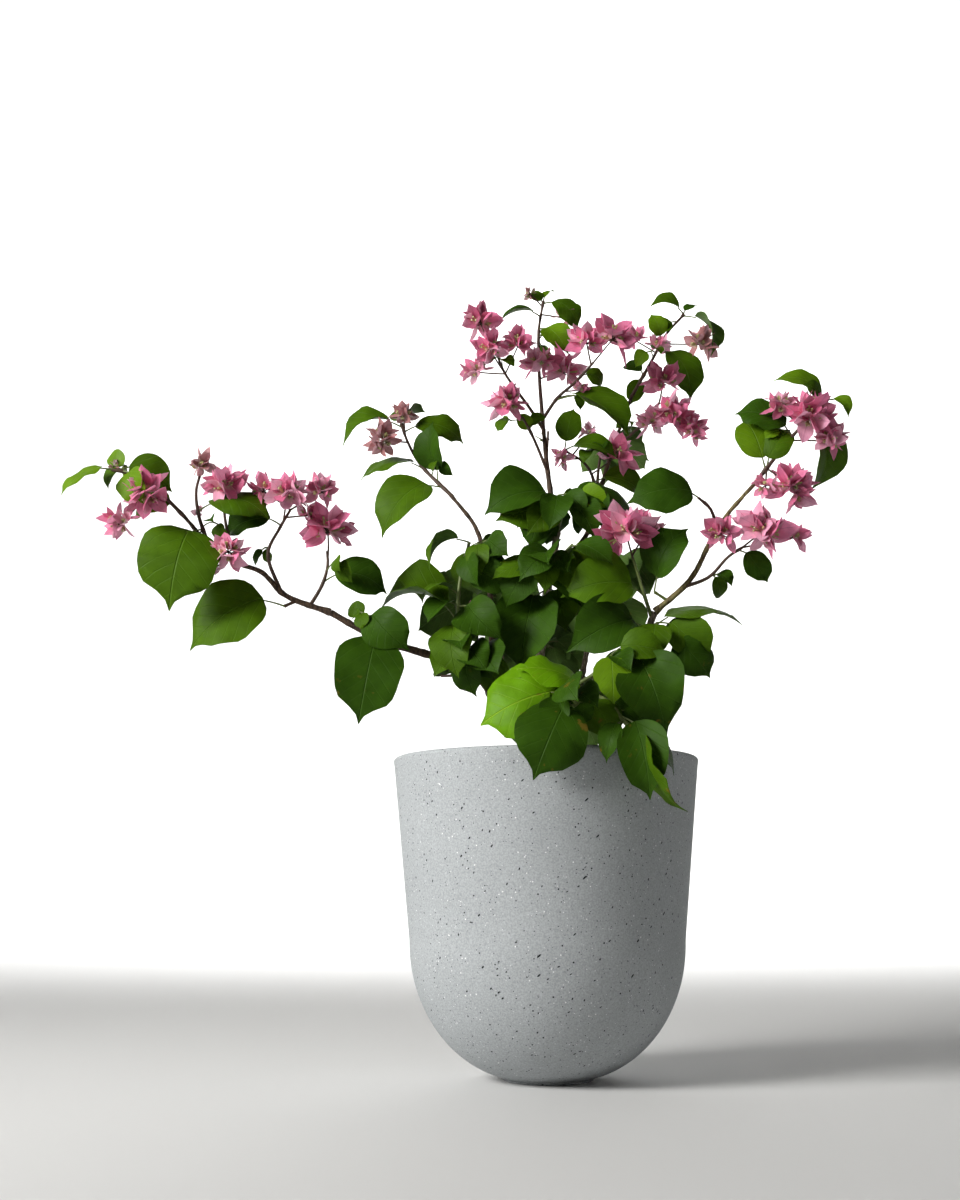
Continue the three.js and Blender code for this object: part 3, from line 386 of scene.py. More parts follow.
# Foliage masses, each on a stem of its own. A leaf is (share of the stem, heading, rise, length,
# turn, tone) and a bloom is (share of the stem, heading, rise, stalk length, size, kind), of which
# the last ones may be left out. `part` names the pieces that a mass is gathered into, `seed` starts
# its draws, `fine` is its own count of fine twigs, `broad` widens its blades, and `faces` is the
# heading that they look to. `twigs` counts the side twigs of the seeded rule, which fan out round
# the heading `fan` and stay in the box `space`, and a `bare` mass has no bloom on them.
MASSES = [
    dict(name="foliage_left_tip", part="left", on="bough_left_far", at=1, seed=1, girth=(2, 1.3),
         legs=[(-165, 42, 35), (-165, 28, 37), (-170, 5, 12)],
         leaves=[(0.97, -155, -40, 50, 10, "light"), (0.86, 150, 40, 28, 0, "light"), (0.93, 20, -20, 49),
                 (0.88, -34, -60, 42, 0, "light"), (0.05, 165, -5, 50, 0, "light")],
         blooms=[(0.8, 180, 30, 15, 20, "bud"), (0.27, -130, 0, 25, 50), (0.5, -165, -55, 45, 38)]),
    dict(name="foliage_left_rise", part="left", on="bough_left_far", at=0.8, seed=2, girth=(2, 1.3),
         broad=1.25, legs=[(160, 68, 31), (150, 80, 26), (30, 78, 21)],
         leaves=[(0.45, -12, -14, 66, -55, "mid"), (0.2, -117, -64, 88, -46, "mid")],
         blooms=[(0.8, 0, 80, 20, 34, "young"), (0.3, 110, 50, 16, 18), (0.2, 175, -50, 45, 30)]),
    dict(name="foliage_left_front", part="left", on="bough_left_far", at=0.56, seed=3, girth=(2, 1.3),
         legs=[(-157, 58, 28), (-160, 75, 22), (-135, 83, 17)],
         blooms=[(0.85, 180, 88, 25, 50), (0.2, -100, -10, 24, 42), (0.25, -150, -45, 34, 24)]),
    dict(name="foliage_left_middle", part="left", on="bough_left_far", at=0.3, seed=4, girth=(2, 1.3),
         legs=[(-165, 70, 40), (-10, 66, 27), (-10, 60, 21)],
         leaves=[(0.8, 168, -12, 58, 8, "dark")],
         blooms=[(1, 180, 35, 32, 38), (0.85, -70, 60, 25, 50), (1, 10, 33, 35, 38),
                 (0.9, 20, 10, 22, 30)]),
    dict(name="foliage_left_inner", part="left", on="bough_left_far", at=0.12, seed=5, girth=(2, 1.3),
         legs=[(10, 62, 24), (10, 76, 20), (115, 80, 15)],
         leaves=[(0.45, 8, -10, 58, -8)],
         blooms=[(0.86, 180, 89, 26, 56)]),
    dict(name="foliage_left_round", part="left", on="bough_left_far", at=0.2, seed=35, girth=(1.8, 1.4),
         fine=0, broad=1.2, legs=[(-150, -28, 14)],
         leaves=[(1, -168, -30, 90, -30, "mid")]),
    dict(name="foliage_left_low", part="left", on="bough_left", at=0.72, seed=6, girth=(2, 1.3),
         legs=[(-127, 42, 13), (-163, 42, 18), (-173, 20, 17)],
         leaves=[(0.35, -122, -72, 91, -34, "dark"), (1, -35, -48, 56, 0, "dark"), (0.9, 150, 20, 24)]),
    dict(name="foliage_centre_left", part="heart", on="bough_left", at=0.3, seed=7, girth=(2.4, 1.4),
         fine=6, legs=[(-137, 49, 62), (-108, 79, 33), (0, 85, 34), (25, 75, 34)],
         leaves=[(0.5, -100, -68, 61), (0.6, -137, -36, 40), (0.66, -160, -4, 36, 50), (0.59, -46, -48, 57),
                 (0.35, -60, -80, 49), (0.5, 172, 10, 80, 38, "mid"), (0.92, -73, -66, 41),
                 (1, -163, -32, 48, 40), (0.8, -20, -30, 50)]),
    dict(name="foliage_upper_left", part="left", on="bough_upper_left", at=1, seed=8, girth=(2.2, 1.3),
         legs=[(165, 47, 51), (170, 62, 32), (180, 72, 19)],
         leaves=[(0.95, 180, -16, 65, 15), (0.9, -5, -16, 60, -35), (0.2, -113, 64, 55),
                 (0.4, 171, -11, 66, 28), (0.12, -157, -42, 82, -30, "mid"),
                 (1, 140, 46, 22), (1, 33, 31, 32, -30)],
         blooms=[(0.86, -100, 66, 20, 32, "young"), (0.78, -150, -5, 30, 42, "young")]),
    dict(name="foliage_centre_top", part="heart", on="bough_centre", at=1, seed=9, girth=(2.2, 1.4),
         fine=6, legs=[(-80, 34, 27), (-102, 46, 21)],
         leaves=[(0.9, 10, -19, 75, -30), (1, -28, -43, 34), (0.73, -51, -47, 53), (0.63, -133, -38, 52),
                 (0.97, -106, -60, 45), (0.55, -154, -24, 63), (0.85, -172, -18, 71, 20)]),
    dict(name="foliage_heart", part="heart", on="bough_centre", at=0.55, seed=10, girth=(2.2, 1.4),
         fine=7, legs=[(-87, 44, 46), (-86, 13, 31), (-58, 38, 24), (-25, 43, 19)],
         leaves=[(0.38, -130, -72, 85, 0, "dark"), (0.68, -43, -52, 48), (0.42, -41, -68, 48),
                 (0.97, -33, -39, 43), (0.9, 0, -23, 38), (0.85, -140, -35, 50)]),
    dict(name="foliage_right_base", part="heart", on="bough_right", at=0.76, seed=11, girth=(2, 1.4),
         fine=1, legs=[(-47, 44, 23), (-22, 29, 12)],
         leaves=[(0.6, -157, -22, 80, 0, "dark"), (0.7, -7, -6, 78, -40), (0.95, 18, -35, 48)]),
    dict(name="foliage_right_low", part="heart", on="bough_right", at=0.96, seed=12, girth=(2, 1.3),
         fine=0, legs=[(-139, 65, 25), (-162, 73, 22), (-158, 71, 17)],
         leaves=[(0.35, -165, -6, 74, -5, "mid")],
         blooms=[(0.9, -142, 70, 29, 62), (1, 13, 57, 33, 34)]),
    dict(name="foliage_right_mid", part="right", on="bough_right_far", at=0.22, seed=13, girth=(2, 1.3),
         legs=[(-19, 18, 26), (-18, 44, 27), (-17, 31, 16)],
         leaves=[(0.93, 22, -56, 38)],
         blooms=[(0.9, -152, 41, 22, 42), (0.98, -28, 33, 25, 54), (1, 6, 12, 52, 34)]),
    dict(name="foliage_right_inner", part="heart", on="bough_right_far", at=0.1, seed=32, girth=(1.8, 1.3),
         fine=0, legs=[(-165, 30, 16)],
         leaves=[(1, -35, 58, 60, -25, "dark")]),
    dict(name="foliage_right_upper", part="right", on="bough_right_far", at=0.62, seed=14, girth=(1.8, 1.3),
         fine=0, legs=[(-135, 60, 20), (-146, 30, 18)],
         leaves=[(0.75, -170, -8, 68, -8, "dark")]),
    dict(name="foliage_right_tip", part="right", on="bough_right_far", at=1, seed=15, girth=(2, 1.3),
         legs=[(-6, 51, 52), (-5, 46, 32), (-9, 49, 18)],
         leaves=[(0.1, 149, 72, 51, 0, "light"), (0.12, -16, 57, 41), (0.5, 172, 22, 54, 22, "dark"),
                 (0.97, -175, 25, 49, 20, "light"), (0.95, -139, 21, 26), (1, -15, -51, 26),
                 (0.8, 65, -71, 70, -30)],
         blooms=[(0.63, -157, 40, 27, 34), (0.51, -43, 35, 25, 54), (0.46, -9, -4, 38, 38),
                 (0.12, -112, -64, 22, 30), (0.12, -10, -42, 30, 48)]),
    dict(name="foliage_top_left", part="top", on="bough_upright", at=1, seed=16, girth=(2.2, 1.2),
         legs=[(135, 85, 32), (104, 83, 35), (76, 83, 36), (22, 80, 31)],
         leaves=[(0.86, -171, -12, 41, 12), (0.97, 158, 39, 21), (1, 28, 40, 18), (0.98, -13, -40, 47, -12),
                 (0.75, -37, -52, 43), (0.69, -16, -37, 36, 0), (0.64, 60, -66, 28)],
         blooms=[(0.95, -163, 43, 19, 26, "bud"), (0.88, 9, -6, 26, 30, "young"), (0.25, -91, 52, 23, 42),
                 (0.3, 12, 20, 27, 52)]),
    dict(name="foliage_plume_left", part="top", on="bough_upright", at=0.86, seed=17, girth=(1.9, 1.2),
         legs=[(-144, 48, 26), (-139, 40, 25), (-142, 44, 23), (-160, 66, 26)],
         blooms=[(0.73, -138, 45, 30, 42), (0.73, -24, 63, 32, 42), (0.73, 172, 7, 30, 34),
                 (1, -175, 62, 32, 48)]),
    dict(name="foliage_plume_low", part="top", on="bough_upright", at=0.5, seed=18, girth=(1.8, 1.2),
         legs=[(-135, 56, 43), (-127, 41, 22)],
         leaves=[(0.68, -162, 51, 22), (0.75, -20, 27, 20)],
         blooms=[(0.97, -154, 38, 23, 46)]),
    dict(name="foliage_top_mid", part="top", on="bough_upright", at=0.95, seed=19, girth=(2, 1.3),
         legs=[(-28, 50, 28), (-25, 35, 24), (-22, 43, 29)],
         leaves=[(0.3, -26, -38, 86, -22), (0.76, 26, -16, 28)],
         blooms=[(0.95, -139, 75, 23, 46), (1, -18, 48, 30, 52), (0.46, -19, -1, 18, 24)]),
    dict(name="foliage_top_right", part="top", on="bough_top_right", at=1, seed=20, girth=(2, 1.2),
         legs=[(9, 61, 53), (8, 62, 31), (5, 50, 34)],
         leaves=[(1, 180, 11, 37), (1, 14, 29, 20), (0.98, -19, -57, 57, -38, "mid"), (0.64, -139, 65, 29),
                 (0.9, 164, -39, 28), (0.53, -28, -60, 69), (0.24, 155, 25, 26), (0.24, 133, -68, 30)],
         blooms=[(0.51, -171, 29, 28, 32), (0.39, -44, 55, 20, 32), (0.61, -8, -4, 45, 40, "young")]),
    dict(name="foliage_top_right_side", part="top", on="bough_top_right", at=0.7, seed=21, girth=(1.9, 1.2),
         legs=[(-29, 34, 30), (-37, 31, 23), (-25, 51, 22)],
         blooms=[(0.97, -22, 77, 24, 46, "dusky"), (0.45, -42, 10, 22, 40), (0.76, -28, -7, 26, 48),
                 (0.9, -12, -35, 48, 38)]),
    dict(name="foliage_mid_shoot", part="top", on="bough_top_right", at=0.42, seed=22, girth=(1.9, 1.2),
         fine=2, legs=[(-117, 68, 29), (-128, 34, 21), (-149, 21, 25)],
         leaves=[(1, -32, 79, 40), (1, -18, -22, 49), (0.3, 9, -20, 52, 0, "mid")],
         blooms=[(0.42, -26, 30, 32, 48), (0.86, 0, 54, 29, 24), (0.75, -161, -5, 18, 26)]),
    dict(name="foliage_front_low", part="heart", on="bough_front", at=1, seed=23, girth=(2.2, 1.5),
         fine=2, broad=1.15, legs=[(-129, -25, 15), (-132, -25, 18)],
         leaves=[(0.69, -172, -18, 84, -8, "lime"), (0.03, -160, 8, 62, 32, "lime"),
                 (0.8, -134, -60, 78, -8, "dark"), (0.5, -38, -58, 43), (0.55, -90, -69, 24)]),
    dict(name="foliage_front_right", part="heart", on="bough_front", at=0.72, seed=25, girth=(2.2, 1.4),
         fine=2, legs=[(-42, 22, 38), (0, 38, 26), (8, 28, 25), (14, 10, 24)],
         leaves=[(0.3, -28, -4, 42, -20), (0.56, -37, -61, 82, 0, "dark"), (0.98, 0, -52, 50)]),
    dict(name="foliage_front_drop", part="heart", on="bough_front", at=0.93, seed=24, girth=(2.2, 1.5),
         fine=1, broad=0.85, legs=[(-50, -25, 34), (-53, -45, 24), (-22, -45, 23)],
         leaves=[(0.73, -144, -64, 39, 0, "dark"), (0.64, -42, -70, 74, 0, "dark"),
                 (0.8, -30, -77, 80, 86, "mid"), (0.8, 20, -50, 57, -45, "dark"),
                 (0.56, 30, -40, 36, 0, "dark"), (0.35, 0, -34, 36)]),
    dict(name="foliage_back_crown", part="back", on="bough_upright", at=0.35, seed=33, girth=(2, 1.3),
         faces=100, legs=[(95, 58, 45), (80, 70, 40)], twigs=3, fan=95,
         space=[(-45, 60, 640), (60, 175, 770)]),
    dict(name="foliage_back_top_right", part="back", on="bough_top_right", at=0.45, seed=34, girth=(2, 1.3),
         faces=70, legs=[(85, 50, 40), (70, 65, 45)], twigs=3, fan=70,
         space=[(50, 90, 610), (150, 200, 760)]),
    dict(name="foliage_back_left_high", part="back", on="bough_back_left", at=1, seed=26, girth=(2.4, 1.4),
         faces=120, legs=[(125, 60, 50), (110, 55, 45)], twigs=5, fan=120,
         space=[(-135, 70, 400), (0, 230, 590)]),
    dict(name="foliage_back_left_low", part="back", on="bough_back_left", at=0.5, seed=27, girth=(2.2, 1.4),
         faces=140, bare=True, legs=[(165, 25, 45), (150, 5, 35)], twigs=4, fan=150,
         space=[(-150, 30, 388), (-20, 190, 440)]),
    dict(name="foliage_back_right_high", part="back", on="bough_back_right", at=1, seed=28,
         girth=(2.4, 1.4), faces=60, legs=[(55, 60, 50), (70, 55, 45)], twigs=5, fan=60,
         space=[(0, 70, 400), (135, 230, 590)]),
    dict(name="foliage_back_right_low", part="back", on="bough_back_right", at=0.5, seed=29,
         girth=(2.2, 1.4), faces=40, legs=[(15, 25, 45), (30, 5, 35)], twigs=4, fan=30,
         space=[(10, 20, 320), (140, 190, 440)]),
    dict(name="foliage_back_low", part="back", on="bough_back", at=1, seed=30, girth=(2.4, 1.5),
         faces=90, bare=True, legs=[(90, -20, 40), (88, -45, 40)], twigs=4, fan=90,
         space=[(-48, 150, 230), (90, 270, 420)]),
    dict(name="foliage_back_mid", part="back", on="bough_back", at=0.75, seed=31, girth=(2.4, 1.4),
         faces=90, legs=[(95, 68, 60), (80, 60, 45)], twigs=4, fan=90,
         space=[(-80, 95, 400), (80, 240, 540)]),
]


UP = np.array((0.0, 0.0, 1.0))
SIDEWAYS = np.array((1.0, 0.0, 0.0))


def direction(heading, rise):
    """Unit vector at a heading from +X towards +Y and a rise above level, in degrees."""
    around = math.radians(heading)
    lift = math.radians(rise)
    return np.array((
        math.cos(lift) * math.cos(around),
        math.cos(lift) * math.sin(around),
        math.sin(lift),
    ))


def unit(vector):
    return vector / np.linalg.norm(vector)


def square_to(axis, vector):
    """The part of a vector that is square to an axis, at unit length."""
    return unit(vector - axis * np.dot(axis, vector))


def sideways_of(axis):
    return square_to(axis, SIDEWAYS if abs(axis[2]) > UPRIGHT else UP)


def turned(vector, axis, degrees):
    """A vector turned about a unit axis."""
    angle = math.radians(degrees)
    along = axis * np.dot(axis, vector)
    return along + (vector - along) * math.cos(angle) + np.cross(axis, vector) * math.sin(angle)


def seeded(seed):
    """The same small repeatable random sequence that the solids are grown with."""
    state = (int(seed) * 2654435761) & 0xFFFFFFFF

    def draw(low=0.0, high=1.0):
        nonlocal state
        state = (state * 1664525 + 1013904223) & 0xFFFFFFFF
        return low + (high - low) * state / 4294967296

    return draw


class Route:
    """A centre line kept as close points, and read by the distance along it."""

    def __init__(self, line):
        self.line = line
        steps = np.linalg.norm(np.diff(line, axis=0), axis=1)
        self.reached = np.concatenate(([0.0], np.cumsum(steps)))
        self.length = float(self.reached[-1])

    def at(self, distance):
        distance = np.clip(distance, 0.0, self.length)
        return np.stack([np.interp(distance, self.reached, self.line[:, i]) for i in range(3)], axis=-1)

    def along(self, distance):
        ahead = self.at(np.minimum(distance + TANGENT_REACH, self.length))
        behind = self.at(np.maximum(distance - TANGENT_REACH, 0.0))
        tangent = ahead - behind
        return tangent / np.linalg.norm(tangent, axis=-1, keepdims=True)

    def clear_of(self, point):
        return float(np.min(np.linalg.norm(self.line - point, axis=1)))


def limb_route(start, legs):
    """A limb's centre line: a centripetal Catmull-Rom curve through the ends of its legs."""
    points = [np.array(start, dtype=float)]
    for heading, rise, length in legs:
        points.append(points[-1] + direction(heading, rise) * length)
    padded = [2 * points[0] - points[1], *points, 2 * points[-1] - points[-2]]
    share = np.linspace(0.0, 1.0, ROUTE_SAMPLES, endpoint=False)[:, None]
    stretches = []
    for before, left, right, after in zip(padded, padded[1:], padded[2:], padded[3:]):
        gaps = [math.sqrt(np.linalg.norm(b - a)) for a, b in
                ((before, left), (left, right), (right, after))]
        leave = (left - before) / gaps[0] - (right - before) / (gaps[0] + gaps[1])
        leave = (leave + (right - left) / gaps[1]) * gaps[1]
        reach = (right - left) / gaps[1] - (after - left) / (gaps[1] + gaps[2])
        reach = (reach + (after - right) / gaps[2]) * gaps[1]
        square = -3 * left + 3 * right - 2 * leave - reach
        cube = 2 * left - 2 * right + leave + reach
        stretches.append(left + leave * share + square * share**2 + cube * share**3)
    return Route(np.vstack([*stretches, points[-1][None, :]]))


def spur_length(limb, parent, sisters):
    """The distance along a side limb at which it is clear of its parent and its sisters."""
    own = limb["girth"][0]
    parent_radius = parent["radius"](parent["route"].length * limb["at"])
    distance = min(SPUR_LONGEST, limb["route"].length - LEAVES_PAST_SPUR)
    while distance > 2 * own:
        point = limb["route"].at(distance)
        gaps = [parent["route"].clear_of(point) - parent_radius]
        gaps += [sister["route"].clear_of(point) - sister["girth"][0] for sister in sisters]
        if min(gaps) - own < SPUR_CLEAR:
            return distance + SPUR_STEP
        distance -= SPUR_STEP
    return 2 * own


def tapering(limb):
    start, end = limb["girth"]
    return lambda distance: start + (end - start) * np.clip(distance / limb["route"].length, 0, 1)


def grow_limbs():
    """Every limb of the solids, by name, with its route, taper and spur."""
    settings = bpy.context.scene.bougainvillea_planter
    foot = np.array((0.0, 0.0, settings.height / MM - settings.soil_depth / MM + TRUNK_CLEAR))
    half = TRUNK_HEIGHT / 2
    trunk = dict(name="trunk", girth=(TRUNK_FOOT_RADIUS, TRUNK_FORK_RADIUS),
                 route=limb_route(foot, [(180, 90, half), (180, TRUNK_LEAN, half)]),
                 radius=lambda distance: TRUNK_FORK_RADIUS)
    limbs = {"trunk": trunk}
    rows = [dict(row) for row in BOUGHS + MASSES]
    for limb in rows:
        parent = limbs[limb["on"]]["route"]
        limb["route"] = limb_route(parent.at(parent.length * limb["at"]), limb["legs"])
        limb["radius"] = tapering(limb)
        limbs[limb["name"]] = limb
    for limb in rows:
        sisters = [other for other in rows if other is not limb and other["on"] == limb["on"]]
        limb["spur"] = spur_length(limb, limbs[limb["on"]], sisters)
    return limbs


class Shape:
    """A small mesh kept as arrays, to be copied many times. Its corners carry the UV map."""

    def __init__(self, mesh):
        mesh.verts.ensure_lookup_table()
        self.points = np.array([vert.co for vert in mesh.verts])
        self.sizes = np.array([len(face.verts) for face in mesh.faces])
        self.corners = np.array([vert.index for face in mesh.faces for vert in face.verts])
        self.under = np.array([face.normal.z < UNDER_LIMIT for face in mesh.faces])
        self.uv = self.points[self.corners][:, :2] + np.array((0.0, 0.5))
        mesh.free()


@lru_cache(maxsize=None)
def blade_shape(rows, columns, swell, narrow, width, drip, thickness):
    """A flat blade along +X, one long, in its own outline, with a top, an underside and a rim.

    The outline is share**swell * (1 - share)**narrow, brought to the given width, and drawn in
    by the share `drip` towards a narrow tip. The rows lie closer together at foot and tip.
    """
    mesh = bmesh.new()
    bmesh.ops.create_grid(mesh, x_segments=rows, y_segments=columns, size=0.5)
    peak = swell / (swell + narrow)
    top = peak**swell * (1 - peak)**narrow
    for vert in mesh.verts:
        even = vert.co.x + 0.5
        share = ROWS_EVEN * even + (1 - ROWS_EVEN) * (0.5 - 0.5 * math.cos(math.pi * even))
        outline = 0.5 * width * (share**swell * (1 - share)**narrow / top if 0 < share < 1 else 0.0)
        nearing = min(max((share - DRIP_START) / DRIP_LENGTH, 0.0), 1.0)
        outline *= 1 - drip * nearing**2 * (3 - 2 * nearing)
        vert.co.x = share
        vert.co.y = 2 * vert.co.y * max(outline, BLADE_POINT)
    bmesh.ops.solidify(mesh, geom=mesh.faces[:], thickness=thickness)
    bmesh.ops.remove_doubles(mesh, verts=mesh.verts[:], dist=0.0005)
    mesh.normal_update()
    mesh.verts.index_update()
    return Shape(mesh)


@lru_cache(maxsize=None)
def tube_shape(rows, sides):
    """A closed tube of unit length and radius along +X."""
    mesh = bmesh.new()
    bmesh.ops.create_grid(mesh, x_segments=rows, y_segments=sides, size=0.5)
    for vert in mesh.verts:
        angle = 2 * math.pi * vert.co.y
        vert.co = (vert.co.x + 0.5, math.cos(angle), math.sin(angle))
    bmesh.ops.remove_doubles(mesh, verts=mesh.verts[:], dist=0.0001)
    rims = [edge for edge in mesh.edges if edge.is_boundary]
    bmesh.ops.holes_fill(mesh, edges=rims, sides=sides)
    bmesh.ops.recalc_face_normals(mesh, faces=mesh.faces[:])
    mesh.verts.index_update()
    return Shape(mesh)


@lru_cache(maxsize=None)
def lump_shape():
    """A twenty-sided lump of unit radius."""
    mesh = bmesh.new()
    bmesh.ops.create_icosphere(mesh, subdivisions=1, radius=1.0)
    mesh.verts.index_update()
    return Shape(mesh)


class Gathering:
    """Copies of small shapes, gathered into one mesh."""

    def __init__(self):
        self.points = []
        self.sizes = []
        self.corners = []
        self.slots = []
        self.uv = []
        self.count = 0

    def add(self, shape, points, slot, under_slot=None):
        slots = np.full(len(shape.sizes), slot)
        if under_slot is not None:
            slots[shape.under] = under_slot
        self.points.append(points)
        self.sizes.append(shape.sizes)
        self.corners.append(shape.corners + self.count)
        self.slots.append(slots)
        self.uv.append(shape.uv)
        self.count += len(points)

    def piece(self, name, materials, crease=60.0):
        """The finished object, at the origin, with its place in its mesh."""
        sizes = np.concatenate(self.sizes)
        mesh = bpy.data.meshes.new(name)
        mesh.vertices.add(self.count)
        mesh.vertices.foreach_set("co", (np.concatenate(self.points) * MM).ravel())
        mesh.loops.add(int(sizes.sum()))
        mesh.loops.foreach_set("vertex_index", np.concatenate(self.corners))
        mesh.polygons.add(len(sizes))
        mesh.polygons.foreach_set("loop_start", np.concatenate(([0], np.cumsum(sizes)[:-1])))
        mesh.polygons.foreach_set("material_index", np.concatenate(self.slots))
        mesh.polygons.foreach_set("use_smooth", np.ones(len(sizes), dtype=bool))
        mesh.uv_layers.new(name="UVMap").data.foreach_set("uv", np.concatenate(self.uv).ravel())
        mesh.update(calc_edges=True)
        mesh.validate()
        mesh.set_sharp_from_angle(angle=math.radians(crease))
        return placed_piece(name, mesh, materials)


def placed_piece(name, mesh, materials):
    for material in materials:
        mesh.materials.append(material)
    made = bpy.data.objects.new(name, mesh)
    bpy.context.scene.collection.objects.link(made)
    return made


def blade_points(shape, base, chord, normal, length, width=1.0, arch=0.0, fold=0.0, cup=0.0,
                 droop=0.0, ripple=0.0, phase=0.0, bend=0.0, twist=0.0):
    """Points of a blade that starts at `base`, runs along `chord` and looks along `normal`.

    arch lifts the middle, fold lifts both halves off the midrib, cup curls the margins up, droop
    drops the tip, ripple waves the margins, bend swings the tip sideways and twist turns it.
    """
    share = shape.points[:, 0]
    across = shape.points[:, 1] * width
    across = across * (1 + ripple * np.sin(2 * math.pi * OUTLINE_WAVES * share + phase))
    margin = np.abs(across) / HALF_WIDTH
    lift = 4 * arch * share * (1 - share) - droop * share**DROOP_POWER
    lift = lift + fold * np.abs(across) + cup * across**2 / HALF_WIDTH
    waves = np.sin(2 * math.pi * MARGIN_WAVES * share + phase + OUT_OF_STEP * (across > 0))
    lift = lift + ripple * margin**2 * waves * np.sin(math.pi * share)
    angle = math.radians(twist) * share
    side = np.cross(normal, chord)
    sideways = across * np.cos(angle) + bend * share**2
    lift = lift + across * np.sin(angle)
    run = share - SHORTENED * (arch + droop) * share**3
    thick = shape.points[:, 2]
    return (base + np.outer(run * length, chord) + np.outer(sideways * length, side)
            + np.outer((lift + thick) * length, normal))


def frames_along(route, distances):
    """A pair of cross directions at each distance that don't spin from one ring to the next."""
    tangents = route.along(distances)
    across = sideways_of(tangents[0])
    sides = []
    for tangent in tangents:
        across = square_to(tangent, across)
        sides.append(across)
    sides = np.array(sides)
    return sides, np.cross(tangents, sides)


def tube_points(route, end, rows, sides, radius_at, relief=None):
    """Points of a tube along a route, with a radius and a surface relief in millimetres."""
    shape = tube_shape(rows, sides)
    ring = np.rint(shape.points[:, 0] * rows).astype(int)
    distances = np.linspace(0.0, end, rows + 1)
    across, over = frames_along(route, distances)
    centres = route.at(distances)
    angles = np.arctan2(shape.points[:, 2], shape.points[:, 1])
    around = across[ring] * np.cos(angles)[:, None] + over[ring] * np.sin(angles)[:, None]
    radius = radius_at(distances[ring], angles)
    points = centres[ring] + around * radius[:, None]
    if relief is not None:
        heights = np.array([relief(point, distance, angle) for point, distance, angle
                            in zip(points, distances[ring], angles)])
        points = points + around * heights[:, None]
    return shape, points


def stem_between(gathering, points, slot, radii, sides, rows):
    """A thin stem that bows towards the middle of three points, such as a petiole."""
    start, middle, end = points
    start_radius, end_radius = radii
    share = np.linspace(0.0, 1.0, STEM_SAMPLES)[:, None]
    route = Route((1 - share)**2 * start + 2 * share * (1 - share) * middle + share**2 * end)
    shape, made = tube_points(
        route, route.length, rows, sides,
        lambda distance, angle: start_radius + (end_radius - start_radius) * distance / route.length,
    )
    gathering.add(shape, made, slot)


